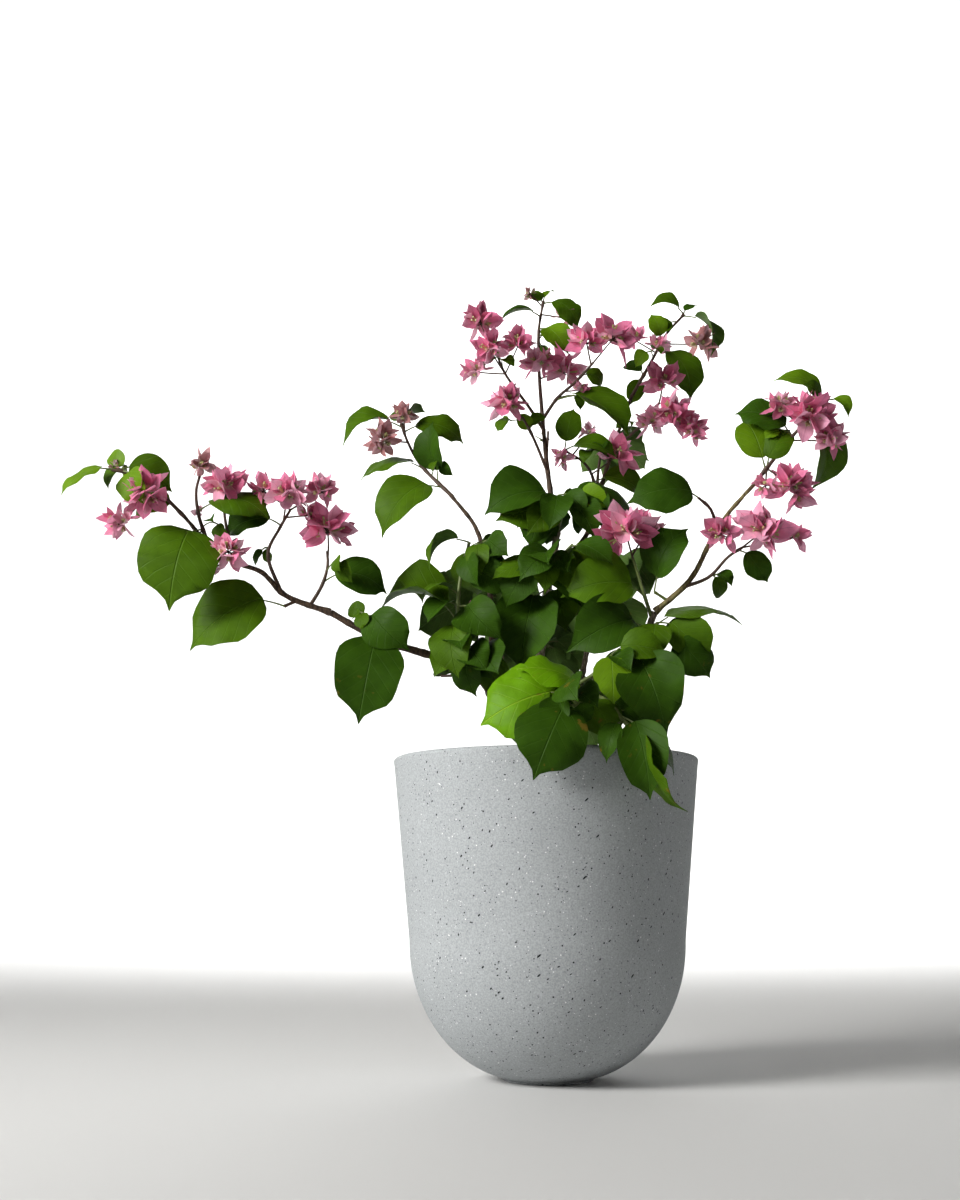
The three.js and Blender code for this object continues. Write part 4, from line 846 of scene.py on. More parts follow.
class Crown:
    """Everything that grows on the limbs, gathered by kind for each part of the crown."""

    def __init__(self, limbs):
        self.limbs = limbs
        self.leaves = {}
        self.stems = {}
        self.blossom = {}
        self.nodes = {}

    def of(self, kind, part):
        return kind.setdefault(part, Gathering())

    def leaf_frame(self, mass, foot, heading, rise, length, turn, draw):
        """Where a leaf's petiole ends and how its blade is set."""
        chord = direction(heading, rise)
        petiole = direction(heading, min(PETIOLE_STEEPEST, rise + PETIOLE_LIFT))
        base = foot + petiole * PETIOLE_SHARE * length
        outward = unit(np.array((base[0], base[1], 0.0)))
        look = direction(mass.get("faces", FACE_HEADING), FACE_RISE) + outward * FACE_OUTWARD
        normal = turned(square_to(chord, look), chord, turn + draw(*LEAF_TURN))
        return base, chord, normal, petiole

    def leaf(self, mass, foot, leaf, draw, outline=SMALL_LEAF_SHAPE):
        """A petiole and its blade."""
        heading, rise, length = leaf[1:4]
        turn = leaf[4] if len(leaf) > 4 else 0.0
        base, chord, normal, petiole = self.leaf_frame(mass, foot, heading, rise, length, turn, draw)
        settings = bpy.context.scene.bougainvillea_leaves
        arch = LEAF_ARCH * draw(*LEAF_ARCH_DRAW)
        fold = settings.fold * draw(*LEAF_FOLD_DRAW)
        tone = leaf[5] if len(leaf) > 5 else self.tone_of(mass, draw)
        width = draw(*LEAF_WIDTH_DRAW) * mass.get("broad", 1.0)
        form = {bend: draw(*span) for bend, span in LEAF_DRAWS.items()}
        form["ripple"] *= settings.ripple
        shape = blade_shape(**outline)
        points = blade_points(shape, base, chord, normal, length, width, arch, fold, **form)
        self.of(self.leaves, mass["part"]).add(shape, points, TONES.index(tone), UNDERSIDE)
        middle = foot + petiole * np.linalg.norm(base - foot) * PETIOLE_MIDDLE
        inside = base + chord * length * PETIOLE_INTO_BLADE - normal * PETIOLE_UNDER_BLADE
        stem_between(self.of(self.stems, mass["part"]), (foot, middle, inside),
                     LIME_STEM if tone == "lime" else GREEN_STEM, **PETIOLE)

    def tone_of(self, mass, draw):
        # Painted shade and light: heart and back leaves draw mostly the dark tone, outer leaves more of the
        # light one.
        dark, mid = SHADED_INNER_TONES if mass["part"] in ("heart", "back") else LIT_OUTER_TONES
        pick = draw()
        if pick < dark:
            return "dark"
        return "mid" if pick < mid else "light"

    def flower(self, part, centre, axis, spoke, length, tone, draw):
        """Three papery bracts round three slim tubes."""
        gathering = self.of(self.blossom, part)
        shape = blade_shape(**BRACT_SHAPE)
        for bract in range(BRACTS):
            out = turned(spoke, axis, 360.0 / BRACTS * bract + draw(*BRACT_SPREAD_DRAW))
            opening = math.radians(draw(*BRACT_OPENING_DRAW))
            chord = axis * math.cos(opening) + out * math.sin(opening)
            normal = axis * math.sin(opening) - out * math.cos(opening)
            reach = length * draw(*BRACT_LENGTH_DRAW)
            form = {bend: draw(*span) for bend, span in BRACT_DRAWS.items()}
            form["arch"] *= BRACT_ARCH
            points = blade_points(shape, centre + out * BRACT_OFF_AXIS, chord, normal, reach, **form)
            gathering.add(shape, points, BRACT_TONES.index(tone))
            tip = centre + unit(axis + out * TUBE_LEAN) * length * draw(*FLOWER_TUBE_DRAW)
            middle = centre + (tip - centre) * 0.5 + out * TUBE_BOW
            stem_between(gathering, (centre, middle, tip), TUBE_SLOT, **FLOWER_TUBE)

    def cluster(self, mass, foot, bloom, draw):
        """A stalk that carries a head of flowers spread over a dome."""
        heading, rise, stalk, size = bloom[1:5]
        kind = bloom[5] if len(bloom) > 5 else None
        settings = bpy.context.scene.bougainvillea_blossom
        out = direction(heading, rise)
        centre = foot + out * stalk
        light = direction(mass.get("faces", FACE_HEADING), FACE_RISE)
        lead = unit(out + light * HEAD_TO_LIGHT + UP * HEAD_UP)
        sideways = sideways_of(lead)
        stems = self.of(self.stems, mass["part"])
        bow = foot + out * stalk * 0.5 + sideways * stalk * draw(*STALK_BOW_DRAW)
        stem_between(stems, (foot, bow, centre), PURPLE_STEM, **HEAD_STALK)
        flowers = max(HEAD_FEWEST, round(size / settings.spacing * MM))
        length = settings.bract_share * size
        for flower in range(flowers):
            level = (flower + DOME_FIRST) / flowers
            tilt = math.degrees(math.acos(1 - DOME_DEPTH * level)) + draw(*FLOWER_TILT_DRAW)
            spread = turned(sideways, lead, GOLDEN_ANGLE * flower + draw(*FLOWER_SPREAD_DRAW))
            axis = turned(lead, np.cross(lead, spread), tilt)
            spoke = turned(square_to(axis, sideways), axis, draw(*FLOWER_TURN_DRAW))
            seat = centre + axis * size * draw(*FLOWER_SEAT_DRAW)
            middle = centre + (seat - centre) * 0.5 + UP * FLOWER_STALK_BOW
            stem_between(stems, (centre, middle, seat), PURPLE_STEM, **FLOWER_STALK)
            # Each flower draws a tone at random: pale as painted light, dusky as painted shade.
            pick = draw()
            tone = "pale" if pick < PALE_LIT_BELOW else "bright" if pick < BRIGHT_BELOW else "dusky"
            if kind is not None:
                tone = "young" if kind == "bud" else kind
            reach = length * (BUD_SIZE if kind == "bud" else 1.0) * draw(*FLOWER_SIZE_DRAW)
            self.flower(mass["part"], seat, axis, spoke, reach, tone, draw)

    def stem(self, mass):
        """The mass's own stem, from inside its parent to a fine tip."""
        route, radius = mass["route"], mass["radius"]
        rows = max(STEM_FEWEST_ROWS, round(route.length / STEM_RING_SPACING))
        knots = [leaf[0] * route.length for leaf in mass.get("leaves", [])]

        def swollen(distances, angles):
            swell = np.zeros_like(distances)
            for knot in knots:
                swell = swell + KNOT_SWELL * np.exp(-((distances - knot) / KNOT_REACH)**2)
            return radius(distances) + swell

        shape, points = tube_points(route, route.length, rows, STEM_SIDES, swollen)
        slot = GREEN_STEM if mass["part"] == "heart" else PURPLE_STEM
        self.of(self.stems, mass["part"]).add(shape, points, slot)

    def foot_on(self, mass, share):
        route = mass["route"]
        return route.at(max(route.length * share, mass["spur"] + LEAVES_PAST_SPUR))

    def within(self, mass, point):
        low, high = mass["space"]
        return all(a < value < b for a, value, b in zip(low, point, high))

    def twigs(self, mass):
        """Side twigs that fan out along the stem, each with leaves that alternate along it."""
        for twig in range(mass.get("twigs", 0)):
            draw = seeded(mass["seed"] * SEEDS_PER_MASS + twig)
            share = min((twig + TWIG_FIRST) / mass["twigs"], TWIG_LAST_SHARE)
            foot = mass["route"].at(mass["route"].length * share)
            heading = mass["fan"] + (twig * GOLDEN_ANGLE) % TWIG_FAN - TWIG_FAN / 2
            rise = draw(*TWIG_RISE_DRAW)
            half = TWIG_LENGTH * draw(*TWIG_LENGTH_DRAW) / 2
            route = limb_route(foot, [(heading, rise, half), (heading, rise - TWIG_DROOP, half)])
            if not self.within(mass, route.at(route.length)):
                continue
            leaves = []
            for step in range(TWIG_LEAVES):
                node = route.at(route.length * (TWIG_BARE + TWIG_LEAFY * step / (TWIG_LEAVES - 1)))
                side = TWIG_LEAF_SIDE if step % 2 == 0 else -TWIG_LEAF_SIDE
                leaf_heading = heading + side * draw(*TWIG_LEAF_SIDE_DRAW)
                leaf_rise = draw(*TWIG_LEAF_RISE_DRAW)
                length = TWIG_LEAF_LENGTH * draw(*TWIG_LEAF_LENGTH_DRAW)
                tip = node + direction(leaf_heading, leaf_rise) * length
                if self.within(mass, tip):
                    leaves.append((node, (0, leaf_heading, leaf_rise, length)))
            if not leaves:
                continue
            foot_share, thinning = TWIG_TAPER
            shape, points = tube_points(
                route, route.length, TWIG_ROWS, TWIG_SIDES,
                lambda distance, angle: TWIG_RADIUS * (foot_share - thinning * distance / route.length),
            )
            self.of(self.stems, mass["part"]).add(shape, points, GREEN_STEM)
            for node, leaf in leaves:
                self.leaf(mass, node, leaf, draw)
            if twig == TWIG_WITH_BLOOM and not mass.get("bare"):
                node = route.at(route.length * TWIG_BLOOM_AT)
                self.cluster(mass, node, (0, heading, *TWIG_BLOOM), draw)

    def fine_twigs(self, mass):
        """The same rule carried on to short finer twigs with young leaves."""
        usual, shortest, longest = FINE_TWIGS[mass["part"]]
        for twig in range(mass.get("fine", usual)):
            draw = seeded(mass["seed"] * SEEDS_PER_MASS + FINE_SEEDS + twig)
            foot = self.foot_on(mass, draw(*FINE_AT_DRAW))
            heading = mass.get("fan", FACE_HEADING) + draw(*FINE_HEADING_DRAW)
            rise = draw(*FINE_RISE_DRAW)
            length = draw(*FINE_LENGTH_DRAW)
            middle = foot + direction(heading, rise + FINE_BOW) * length * 0.5
            end = foot + direction(heading, rise) * length
            stem_between(self.of(self.stems, mass["part"]), (foot, middle, end), GREEN_STEM, **FINE_TWIG)
            for side in (-1, 1):
                leaf_heading = heading + side * draw(*FINE_LEAF_SIDE_DRAW)
                leaf = (0, leaf_heading, draw(*FINE_LEAF_RISE_DRAW), draw(shortest, longest))
                tip = end + direction(leaf[1], leaf[2]) * leaf[3]
                if "space" not in mass or self.within(mass, tip):
                    self.leaf(mass, end, leaf, draw)

    def mass(self, mass):
        """One foliage mass: its stem, its listed leaves and heads, then those of the seeded rule."""
        self.stem(mass)
        first = mass["seed"] * SEEDS_PER_MASS
        for index, leaf in enumerate(mass.get("leaves", [])):
            draw = seeded(first + LEAF_SEEDS + index)
            self.leaf(mass, self.foot_on(mass, leaf[0]), leaf, draw, LEAF_SHAPE)
        for index, bloom in enumerate(mass.get("blooms", [])):
            draw = seeded(first + BLOOM_SEEDS + index)
            self.cluster(mass, self.foot_on(mass, bloom[0]), bloom, draw)
        self.twigs(mass)
        self.fine_twigs(mass)
        self.nodes.setdefault(mass["part"], []).append(mass["name"])


def bark_relief(depth, ridges, scale, seed):
    """Height of bark at a point: long furrows along the limb with finer grain across them."""
    def height(point, distance, angle):
        ring = (math.cos(angle) * ridges, math.sin(angle) * ridges, distance * scale + seed)
        furrows = abs(noise.noise(ring))
        grain = noise.noise(point * GRAIN_PER_MM)
        return depth * (FURROWS * furrows + GRAIN * grain - BARK_SUNK)
    return height


def trunk_radius(distance, angle):
    """The taper of the trunk, with a flare that spreads into blunt root toes at the soil."""
    share = distance / TRUNK_HEIGHT
    flare = ROOT_FLARE * np.exp(-share / ROOT_FLARE_REACH)
    taper = TRUNK_FOOT_RADIUS + (TRUNK_FORK_RADIUS - TRUNK_FOOT_RADIUS) * share
    return taper + flare * (1 + ROOT_TOE_SWELL * np.cos(ROOT_TOES * angle))


def bough_radius(bough, limbs):
    """The bough's taper, with a collar where it leaves its parent and a swelling at each node."""
    length = bough["route"].length
    knots = [other["at"] * length for other in limbs.values() if other.get("on") == bough["name"]]
    knots += list(np.arange(NODE_FIRST, length, NODE_SPACING))

    def radius(distance, angle):
        swell = COLLAR_SWELL * bough["girth"][0] * np.exp(-(distance / COLLAR_REACH)**2)
        for knot in knots:
            swell = swell + NODE_SWELL * bough["girth"][1] * np.exp(-((distance - knot) / NODE_REACH)**2)
        return BOUGH_THIN * bough["radius"](distance) + swell
    return radius


def tube_piece(name, route, rows, sides, radius_at, relief, material):
    gathering = Gathering()
    shape, points = tube_points(route, route.length, rows, sides, radius_at, relief)
    gathering.add(shape, points, 0)
    return gathering.piece(name, [material])


# Materials. Every pattern's scale comes from a real size in millimetres by pattern().

def colour(value):
    """An sRGB hex colour as linear RGBA."""
    parts = [int(value[i:i + 2], 16) / 255 for i in (1, 3, 5)]
    linear = [part / 12.92 if part <= 0.04045 else ((part + 0.055) / 1.055)**2.4 for part in parts]
    return (*linear, 1.0)


def pattern(millimetres):
    """The scale that makes a pattern's features about this large."""
    return 1 / (millimetres * MM)


def add(tree, kind, inputs=None, **settings):
    """Add a node. Settings are its properties, inputs its sockets' values or what links to them."""
    made = tree.nodes.new(kind)
    for key, value in settings.items():
        setattr(made, key, value)
    for key, value in (inputs or {}).items():
        socket = made.inputs[key]
        if isinstance(value, bpy.types.NodeSocket):
            tree.links.new(value, socket)
        else:
            socket.default_value = value
    return made


def new_material(name):
    """An empty material with its node tree and its shader."""
    material = bpy.data.materials.new(name)
    material.use_nodes = True
    return material, material.node_tree, material.node_tree.nodes["Principled BSDF"]


def finish_material(tree, shader, tint, height, strength, depth, surface):
    """Link a surface's colour and its relief, `depth` deep in metres, and set its even values."""
    bump = add(tree, "ShaderNodeBump", {"Height": height, "Strength": strength, "Distance": depth})
    tree.links.new(tint, shader.inputs["Base Color"])
    tree.links.new(bump.outputs["Normal"], shader.inputs["Normal"])
    for key, value in surface.items():
        shader.inputs[key].default_value = value


def vein_mask(tree, pairs, slant, midrib):
    """White along the midrib and the side veins of a blade whose UV runs foot to tip.

    A blade has about this many pairs of side veins, which slant forward as they run out, and its
    midrib is this share of its length wide. Gives the mask and the share from foot to tip.
    """
    uv = add(tree, "ShaderNodeUVMap", uv_map="UVMap")
    axes = add(tree, "ShaderNodeSeparateXYZ", {"Vector": uv.outputs["UV"]})
    along = axes.outputs["X"]
    centred = add(tree, "ShaderNodeMath", {0: axes.outputs["Y"], 1: 0.5}, operation="SUBTRACT")
    off = add(tree, "ShaderNodeMath", {0: centred.outputs[0]}, operation="ABSOLUTE")
    lean = add(tree, "ShaderNodeMath", {0: off.outputs[0], 1: slant}, operation="MULTIPLY")
    phase = add(tree, "ShaderNodeMath", {0: along, 1: lean.outputs[0]}, operation="SUBTRACT")
    count = add(tree, "ShaderNodeMath", {0: phase.outputs[0], 1: pairs}, operation="MULTIPLY")
    near = add(tree, "ShaderNodeMath", {0: count.outputs[0], 1: 0.5}, operation="PINGPONG")
    side = add(tree, "ShaderNodeMapRange",
               {"Value": near.outputs[0], "From Min": 0.0, "From Max": 0.07, "To Min": 0.35, "To Max": 0.0},
               interpolation_type="SMOOTHSTEP")
    rib = add(tree, "ShaderNodeMapRange",
              {"Value": off.outputs[0], "From Min": 0.0, "From Max": midrib, "To Min": 1.0, "To Max": 0.0},
              interpolation_type="SMOOTHSTEP")
    both = add(tree, "ShaderNodeMath", {0: side.outputs[0], 1: rib.outputs[0]}, operation="MAXIMUM")
    return both.outputs[0], along


def leaf_material(name, base, vein, roughness, gloss):
    """Living bougainvillea leaf, grown under a thin wax cuticle.

    The eye gets a quiet sheen, faint mottling, paler sunken veins, and brown scorch spots on the
    low leaves. The pebbling of the skin, some 0.1 mm wide, is drawn at 1.1 mm to show at all.
    """
    material, tree, shader = new_material(name)
    place = add(tree, "ShaderNodeTexCoord").outputs["Object"]
    veins = vein_mask(tree, 6.0, 1.15, 0.010)[0]
    mottle = add(tree, "ShaderNodeTexNoise", {"Vector": place, "Scale": pattern(18.0), "Detail": 3.0})
    patch = add(tree, "ShaderNodeMapRange", {"Value": mottle.outputs["Fac"], "From Min": 0.3,
                                             "From Max": 0.7, "To Min": 0.82, "To Max": 1.15})
    tint = add(tree, "ShaderNodeMix", {"Factor": 1.0, 6: base, 7: patch.outputs["Result"]},
               data_type="RGBA", blend_type="MULTIPLY")
    ribbed = add(tree, "ShaderNodeMath", {0: veins, 1: 0.55}, operation="MULTIPLY")
    shade = add(tree, "ShaderNodeMix", {"Factor": ribbed.outputs[0], 6: tint.outputs[2], 7: vein},
                data_type="RGBA")
    spots = add(tree, "ShaderNodeTexNoise", {"Vector": place, "Scale": pattern(13.0), "Detail": 3.0})
    scorched = add(tree, "ShaderNodeMapRange", {"Value": spots.outputs["Fac"], "From Min": 0.655,
                                                "From Max": 0.7, "To Min": 0.0, "To Max": 0.75})
    axes = add(tree, "ShaderNodeSeparateXYZ", {"Vector": place})
    low = add(tree, "ShaderNodeMapRange", {"Value": axes.outputs["Z"], "From Min": SCORCH_BELOW,
                                           "From Max": SCORCH_ENDS, "To Min": 1.0, "To Max": 0.0})
    burnt = add(tree, "ShaderNodeMath", {0: scorched.outputs["Result"], 1: low.outputs["Result"]},
                operation="MULTIPLY")
    aged = add(tree, "ShaderNodeMix", {"Factor": burnt.outputs[0], 6: shade.outputs[2], 7: colour(SCORCH)},
               data_type="RGBA")
    pebbles = add(tree, "ShaderNodeTexNoise", {"Vector": place, "Scale": pattern(1.1), "Detail": 2.0})
    raised = add(tree, "ShaderNodeMath", {0: pebbles.outputs["Fac"], 1: 0.25}, operation="MULTIPLY")
    relief = add(tree, "ShaderNodeMath", {0: raised.outputs[0], 1: veins}, operation="SUBTRACT")
    finish_material(tree, shader, aged.outputs[2], relief.outputs[0], 0.7, 0.0008,
                    {"Roughness": roughness, "Specular IOR Level": gloss, "IOR": 1.45})
    return material


def bract_material(name, base, deep, pale):
    """Bougainvillea bract, thin dry tissue like tissue paper that has opened and set.

    The eye gets a matte, slightly glowing petal, flushed in patches, darker along its veins and
    paler at its foot.
    """
    material, tree, shader = new_material(name)
    place = add(tree, "ShaderNodeTexCoord").outputs["Object"]
    veins, along = vein_mask(tree, 5.0, 1.5, 0.014)
    foot = add(tree, "ShaderNodeMapRange",
               {"Value": along, "From Min": 0.0, "From Max": 0.3, "To Min": 0.75, "To Max": 0.0},
               interpolation_type="SMOOTHSTEP")
    flush = add(tree, "ShaderNodeTexNoise", {"Vector": place, "Scale": pattern(14.0), "Detail": 3.0})
    flushed = add(tree, "ShaderNodeMapRange", {"Value": flush.outputs["Fac"], "From Min": 0.35,
                                               "From Max": 0.7, "To Min": 0.0, "To Max": 0.45})
    body = add(tree, "ShaderNodeMix", {"Factor": flushed.outputs["Result"], 6: base, 7: deep},
               data_type="RGBA")
    lined = add(tree, "ShaderNodeMath", {0: veins, 1: 0.75}, operation="MULTIPLY")
    veined = add(tree, "ShaderNodeMix", {"Factor": lined.outputs[0], 6: body.outputs[2], 7: deep},
                 data_type="RGBA")
    footed = add(tree, "ShaderNodeMix", {"Factor": foot.outputs["Result"], 6: veined.outputs[2], 7: pale},
                 data_type="RGBA")
    finish_material(tree, shader, footed.outputs[2], veins, 0.4, 0.0005,
                    {"Roughness": 0.62, "Sheen Weight": 0.15, "Subsurface Weight": 0.4,
                     "Subsurface Scale": 0.004, "Subsurface Radius": (1.0, 0.6, 0.7)})
    return material


def stem_material(name, base, deep, roughness):
    """Soft young stem, a living skin that hasn't barked over.

    The eye gets a smooth, half-dull rod with faint blotches of a second colour. The ribs of the
    skin, under half a millimetre wide, are too fine to show, and are drawn as blotches of 7 mm.
    """
    material, tree, shader = new_material(name)
    place = add(tree, "ShaderNodeTexCoord").outputs["Object"]
    streak = add(tree, "ShaderNodeTexNoise", {"Vector": place, "Scale": pattern(7.0), "Detail": 4.0})
    tint = add(tree, "ShaderNodeMix", {"Factor": streak.outputs["Fac"], 6: base, 7: deep},
               data_type="RGBA")
    finish_material(tree, shader, tint.outputs[2], streak.outputs["Fac"], 0.3, 0.0004,
                    {"Roughness": roughness})
    return material


def bark_material(name, base, deep, pale):
    """Bougainvillea bark, cork that the growing wood has split lengthwise.

    The eye gets a dull, rough skin with dark cracks and pale worn patches. The cracks are about
    1 mm apart in life, and are drawn 2.4 mm apart and three times as long, to show.
    """
    material, tree, shader = new_material(name)
    place = add(tree, "ShaderNodeTexCoord").outputs["Object"]
    stretched = add(tree, "ShaderNodeMapping", {"Vector": place, "Scale": (1.0, 1.0, 0.3)})
    crack = add(tree, "ShaderNodeTexNoise", {"Vector": stretched.outputs["Vector"], "Scale": pattern(2.4),
                                             "Detail": 6.0, "Roughness": 0.65})
    dark = add(tree, "ShaderNodeMapRange", {"Value": crack.outputs["Fac"], "From Min": 0.38,
                                            "From Max": 0.6, "To Min": 1.0, "To Max": 0.0})
    worn = add(tree, "ShaderNodeTexNoise", {"Vector": place, "Scale": pattern(16.0), "Detail": 3.0})
    patch = add(tree, "ShaderNodeMapRange", {"Value": worn.outputs["Fac"], "From Min": 0.45,
                                             "From Max": 0.7, "To Min": 0.0, "To Max": 0.8})
    body = add(tree, "ShaderNodeMix", {"Factor": patch.outputs["Result"], 6: base, 7: pale},
               data_type="RGBA")
    tint = add(tree, "ShaderNodeMix", {"Factor": dark.outputs["Result"], 6: body.outputs[2], 7: deep},
               data_type="RGBA")
    finish_material(tree, shader, tint.outputs[2], crack.outputs["Fac"], 0.6, 0.001, {"Roughness": 0.82})
    return material


def fleck_mask(tree, place, turn, stretch, cell, share, size):
    """White on flecks of one size and lie: cells of a Voronoi pattern, of which a share is filled.

    The cells are `cell` millimetres across, turned by radians and stretched by a factor per axis.
    A fleck reaches out by `size`, as a share of its cell.
    """
    lie = add(tree, "ShaderNodeMapping", {"Vector": place, "Rotation": turn, "Scale": stretch},
              vector_type="TEXTURE")
    cells = add(tree, "ShaderNodeTexVoronoi", {"Vector": lie.outputs["Vector"], "Scale": pattern(cell),
                                               "Randomness": 1.0})
    inside = add(tree, "ShaderNodeMapRange", {"Value": cells.outputs["Distance"], "From Min": size * 0.75,
                                              "From Max": size, "To Min": 1.0, "To Max": 0.0})
    pick = add(tree, "ShaderNodeSeparateColor", {"Color": cells.outputs["Color"]})
    chosen = add(tree, "ShaderNodeMath", {0: pick.outputs["Red"], 1: share}, operation="LESS_THAN")
    filled = add(tree, "ShaderNodeMath", {0: inside.outputs["Result"], 1: chosen.outputs[0]},
                 operation="MULTIPLY")
    return filled.outputs[0]


def terrazzo_material(base, shade, dark, white):
    """Fibre clay terrazzo, cast with stone chips in it and ground matte.

    The eye gets a sandy, lightly clouded grey body with black slivers, black specks and white
    grit, all flush. The sand is about 0.5 mm in life, and is drawn at 1.5 mm, to show.
    """
    material, tree, shader = new_material("terrazzo_cast_and_ground")
    place = add(tree, "ShaderNodeTexCoord").outputs["Object"]
    cloud = add(tree, "ShaderNodeTexNoise", {"Vector": place, "Scale": pattern(70.0), "Detail": 5.0,
                                             "Roughness": 0.6})
    body = add(tree, "ShaderNodeMix", {"Factor": cloud.outputs["Fac"], 6: base, 7: shade},
               data_type="RGBA")
    sand = add(tree, "ShaderNodeTexNoise", {"Vector": place, "Scale": pattern(1.5), "Detail": 3.0})
    sandy = add(tree, "ShaderNodeMapRange", {"Value": sand.outputs["Fac"], "From Min": 0.35,
                                             "From Max": 0.65, "To Min": 0.84, "To Max": 1.14})
    sanded = add(tree, "ShaderNodeMix", {"Factor": 1.0, 6: body.outputs[2], 7: sandy.outputs["Result"]},
                 data_type="RGBA", blend_type="MULTIPLY")
    faint = fleck_mask(tree, place, *FAINT_FLECKS)
    sanded = add(tree, "ShaderNodeMix", {"Factor": faint, 6: sanded.outputs[2], 7: shade},
                 data_type="RGBA")
    grit = add(tree, "ShaderNodeMath", {0: fleck_mask(tree, place, *FINE_GRIT),
                                        1: fleck_mask(tree, place, *COARSE_GRIT)}, operation="MAXIMUM")
    result = add(tree, "ShaderNodeMix", {"Factor": grit.outputs[0], 6: sanded.outputs[2], 7: white},
                 data_type="RGBA")
    height = grit
    for chips in DARK_CHIPS:
        mask = fleck_mask(tree, place, *chips)
        result = add(tree, "ShaderNodeMix", {"Factor": mask, 6: result.outputs[2], 7: dark},
                     data_type="RGBA")
        height = add(tree, "ShaderNodeMath", {0: height.outputs[0], 1: mask}, operation="SUBTRACT")
    relief = add(tree, "ShaderNodeMath", {0: sand.outputs["Fac"], 1: height.outputs[0]}, operation="ADD")
    finish_material(tree, shader, result.outputs[2], relief.outputs[0], 0.25, 0.0004,
                    {"Roughness": 0.72, "Specular IOR Level": 0.2})
    return material


def soil_material(base, deep, pale):
    """Peat potting mix, sieved and loosely filled.

    The eye gets a dark, dead-matte crumble with a few paler fibres, painted darker in the hollows of its
    bump as painted shade.
    """
    material, tree, shader = new_material("peat_potting_mix")
    place = add(tree, "ShaderNodeTexCoord").outputs["Object"]
    crumbs = add(tree, "ShaderNodeTexNoise", {"Vector": place, "Scale": pattern(4.0), "Detail": 6.0})
    # Painted shade: the colour goes to the darker one where the crumble's bump is lowest.
    body = add(tree, "ShaderNodeMix", {"Factor": crumbs.outputs["Fac"], 6: deep, 7: base},
               data_type="RGBA")
    fibre = fleck_mask(tree, place, *SOIL_FIBRES)
    tint = add(tree, "ShaderNodeMix", {"Factor": fibre, 6: body.outputs[2], 7: pale}, data_type="RGBA")
    finish_material(tree, shader, tint.outputs[2], crumbs.outputs["Fac"], 0.8, 0.002, {"Roughness": 0.95})
    return material


def stage_material(tint):
    """Studio background paper, uncoated: an even matte ground with no shine."""
    material, _, shader = new_material("studio_paper_matte")
    shader.inputs["Base Color"].default_value = tint
    shader.inputs["Roughness"].default_value = 0.9
    return material


def spun(name, profile, sides, materials, crease=40.0):
    """A closed shape turned about Z from a profile of (radius, height), lowest axis point first."""
    mesh = bmesh.new()
    points = [mesh.verts.new((radius * MM, 0.0, height * MM)) for radius, height in profile]
    edges = [mesh.edges.new(pair) for pair in zip(points, points[1:])]
    bmesh.ops.spin(mesh, geom=points + edges, axis=(0, 0, 1), cent=(0, 0, 0), dvec=(0, 0, 0),
                   angle=2 * math.pi, steps=sides, use_merge=True, use_duplicate=False)
    bmesh.ops.remove_doubles(mesh, verts=mesh.verts[:], dist=0.00002)
    bmesh.ops.recalc_face_normals(mesh, faces=mesh.faces[:])
    for face in mesh.faces:
        face.smooth = True
    data = bpy.data.meshes.new(name)
    mesh.to_mesh(data)
    mesh.free()
    data.set_sharp_from_angle(angle=math.radians(crease))
    return placed_piece(name, data, materials)


def pot_face(inset, top, lowest, steps, rim_radius, height):
    """Points of a pot face from its lowest to `top`, set in from the outer face by `inset`."""
    points = []
    for i in range(steps + 1):
        angle = math.radians(lowest + (90 - lowest) * i / steps)
        points.append((
            POT_BELLY_CENTRE + (POT_BELLY_RADIUS - inset - POT_BELLY_CENTRE) * math.sin(angle),
            inset + (POT_BELLY_HEIGHT - inset) * (1 - math.cos(angle)),
        ))
    share = (top - POT_BELLY_HEIGHT) / (height - POT_BELLY_HEIGHT)
    for i in range(1, WALL_STEPS + 1):
        part = i / WALL_STEPS
        radius = POT_BELLY_RADIUS + (rim_radius - POT_BELLY_RADIUS) * share * part - inset
        points.append((radius, POT_BELLY_HEIGHT + (top - POT_BELLY_HEIGHT) * part))
    return points


def lip_turn(radius, start, end, lip, height):
    """A quarter turn of the lip."""
    points = []
    for i in range(LIP_STEPS + 1):
        angle = math.radians(start + (end - start) * i / LIP_STEPS)
        points.append((radius + lip * math.cos(angle), height - lip + lip * math.sin(angle)))
    return points


# Sizes and colours that a user would change

def length_property(name, description, default):
    return bpy.props.FloatProperty(name=name, description=description, default=default, min=0.0,
                                   unit="LENGTH", subtype="DISTANCE")


def colour_property(name, description, default):
    return bpy.props.FloatVectorProperty(name=name, description=description, default=colour(default),
                                         size=4, min=0.0, max=1.0, subtype="COLOR")


def share_property(name, description, default, least, most):
    return bpy.props.FloatProperty(name=name, description=description, default=default, min=least, max=most)


class PlanterSettings(bpy.types.PropertyGroup):
    """Sizes and colours of the pot and its soil."""

    height: length_property("Height", "Height of the pot", 0.305)
    rim_radius: length_property("Rim radius", "Outer radius of the pot at its rim", 0.1505)
    wall: length_property("Wall", "Thickness of the pot's wall", 0.010)
    lip: length_property("Lip", "Radius that rounds the lip", 0.004)
    soil_depth: length_property("Soil below rim", "How far the soil lies below the rim", 0.030)
    body: colour_property("Body", "Light grey of the cast body", "#abafb1")
    shade: colour_property("Body shade", "Darker clouding of the body", "#9da1a3")
    dark_chips: colour_property("Dark chips", "Black stone slivers", "#26272a")
    white_chips: colour_property("White chips", "White stone grit", "#e6e8e7")
    soil: colour_property("Soil", "Potting mix", "#3b2b20")
    # Painted shade in the crumble's hollows.
    soil_shade: colour_property("Soil shade", "Hollows of the potting mix", "#1d1510")
    soil_fibre: colour_property("Soil fibre", "Fibres in the potting mix", "#7d664c")


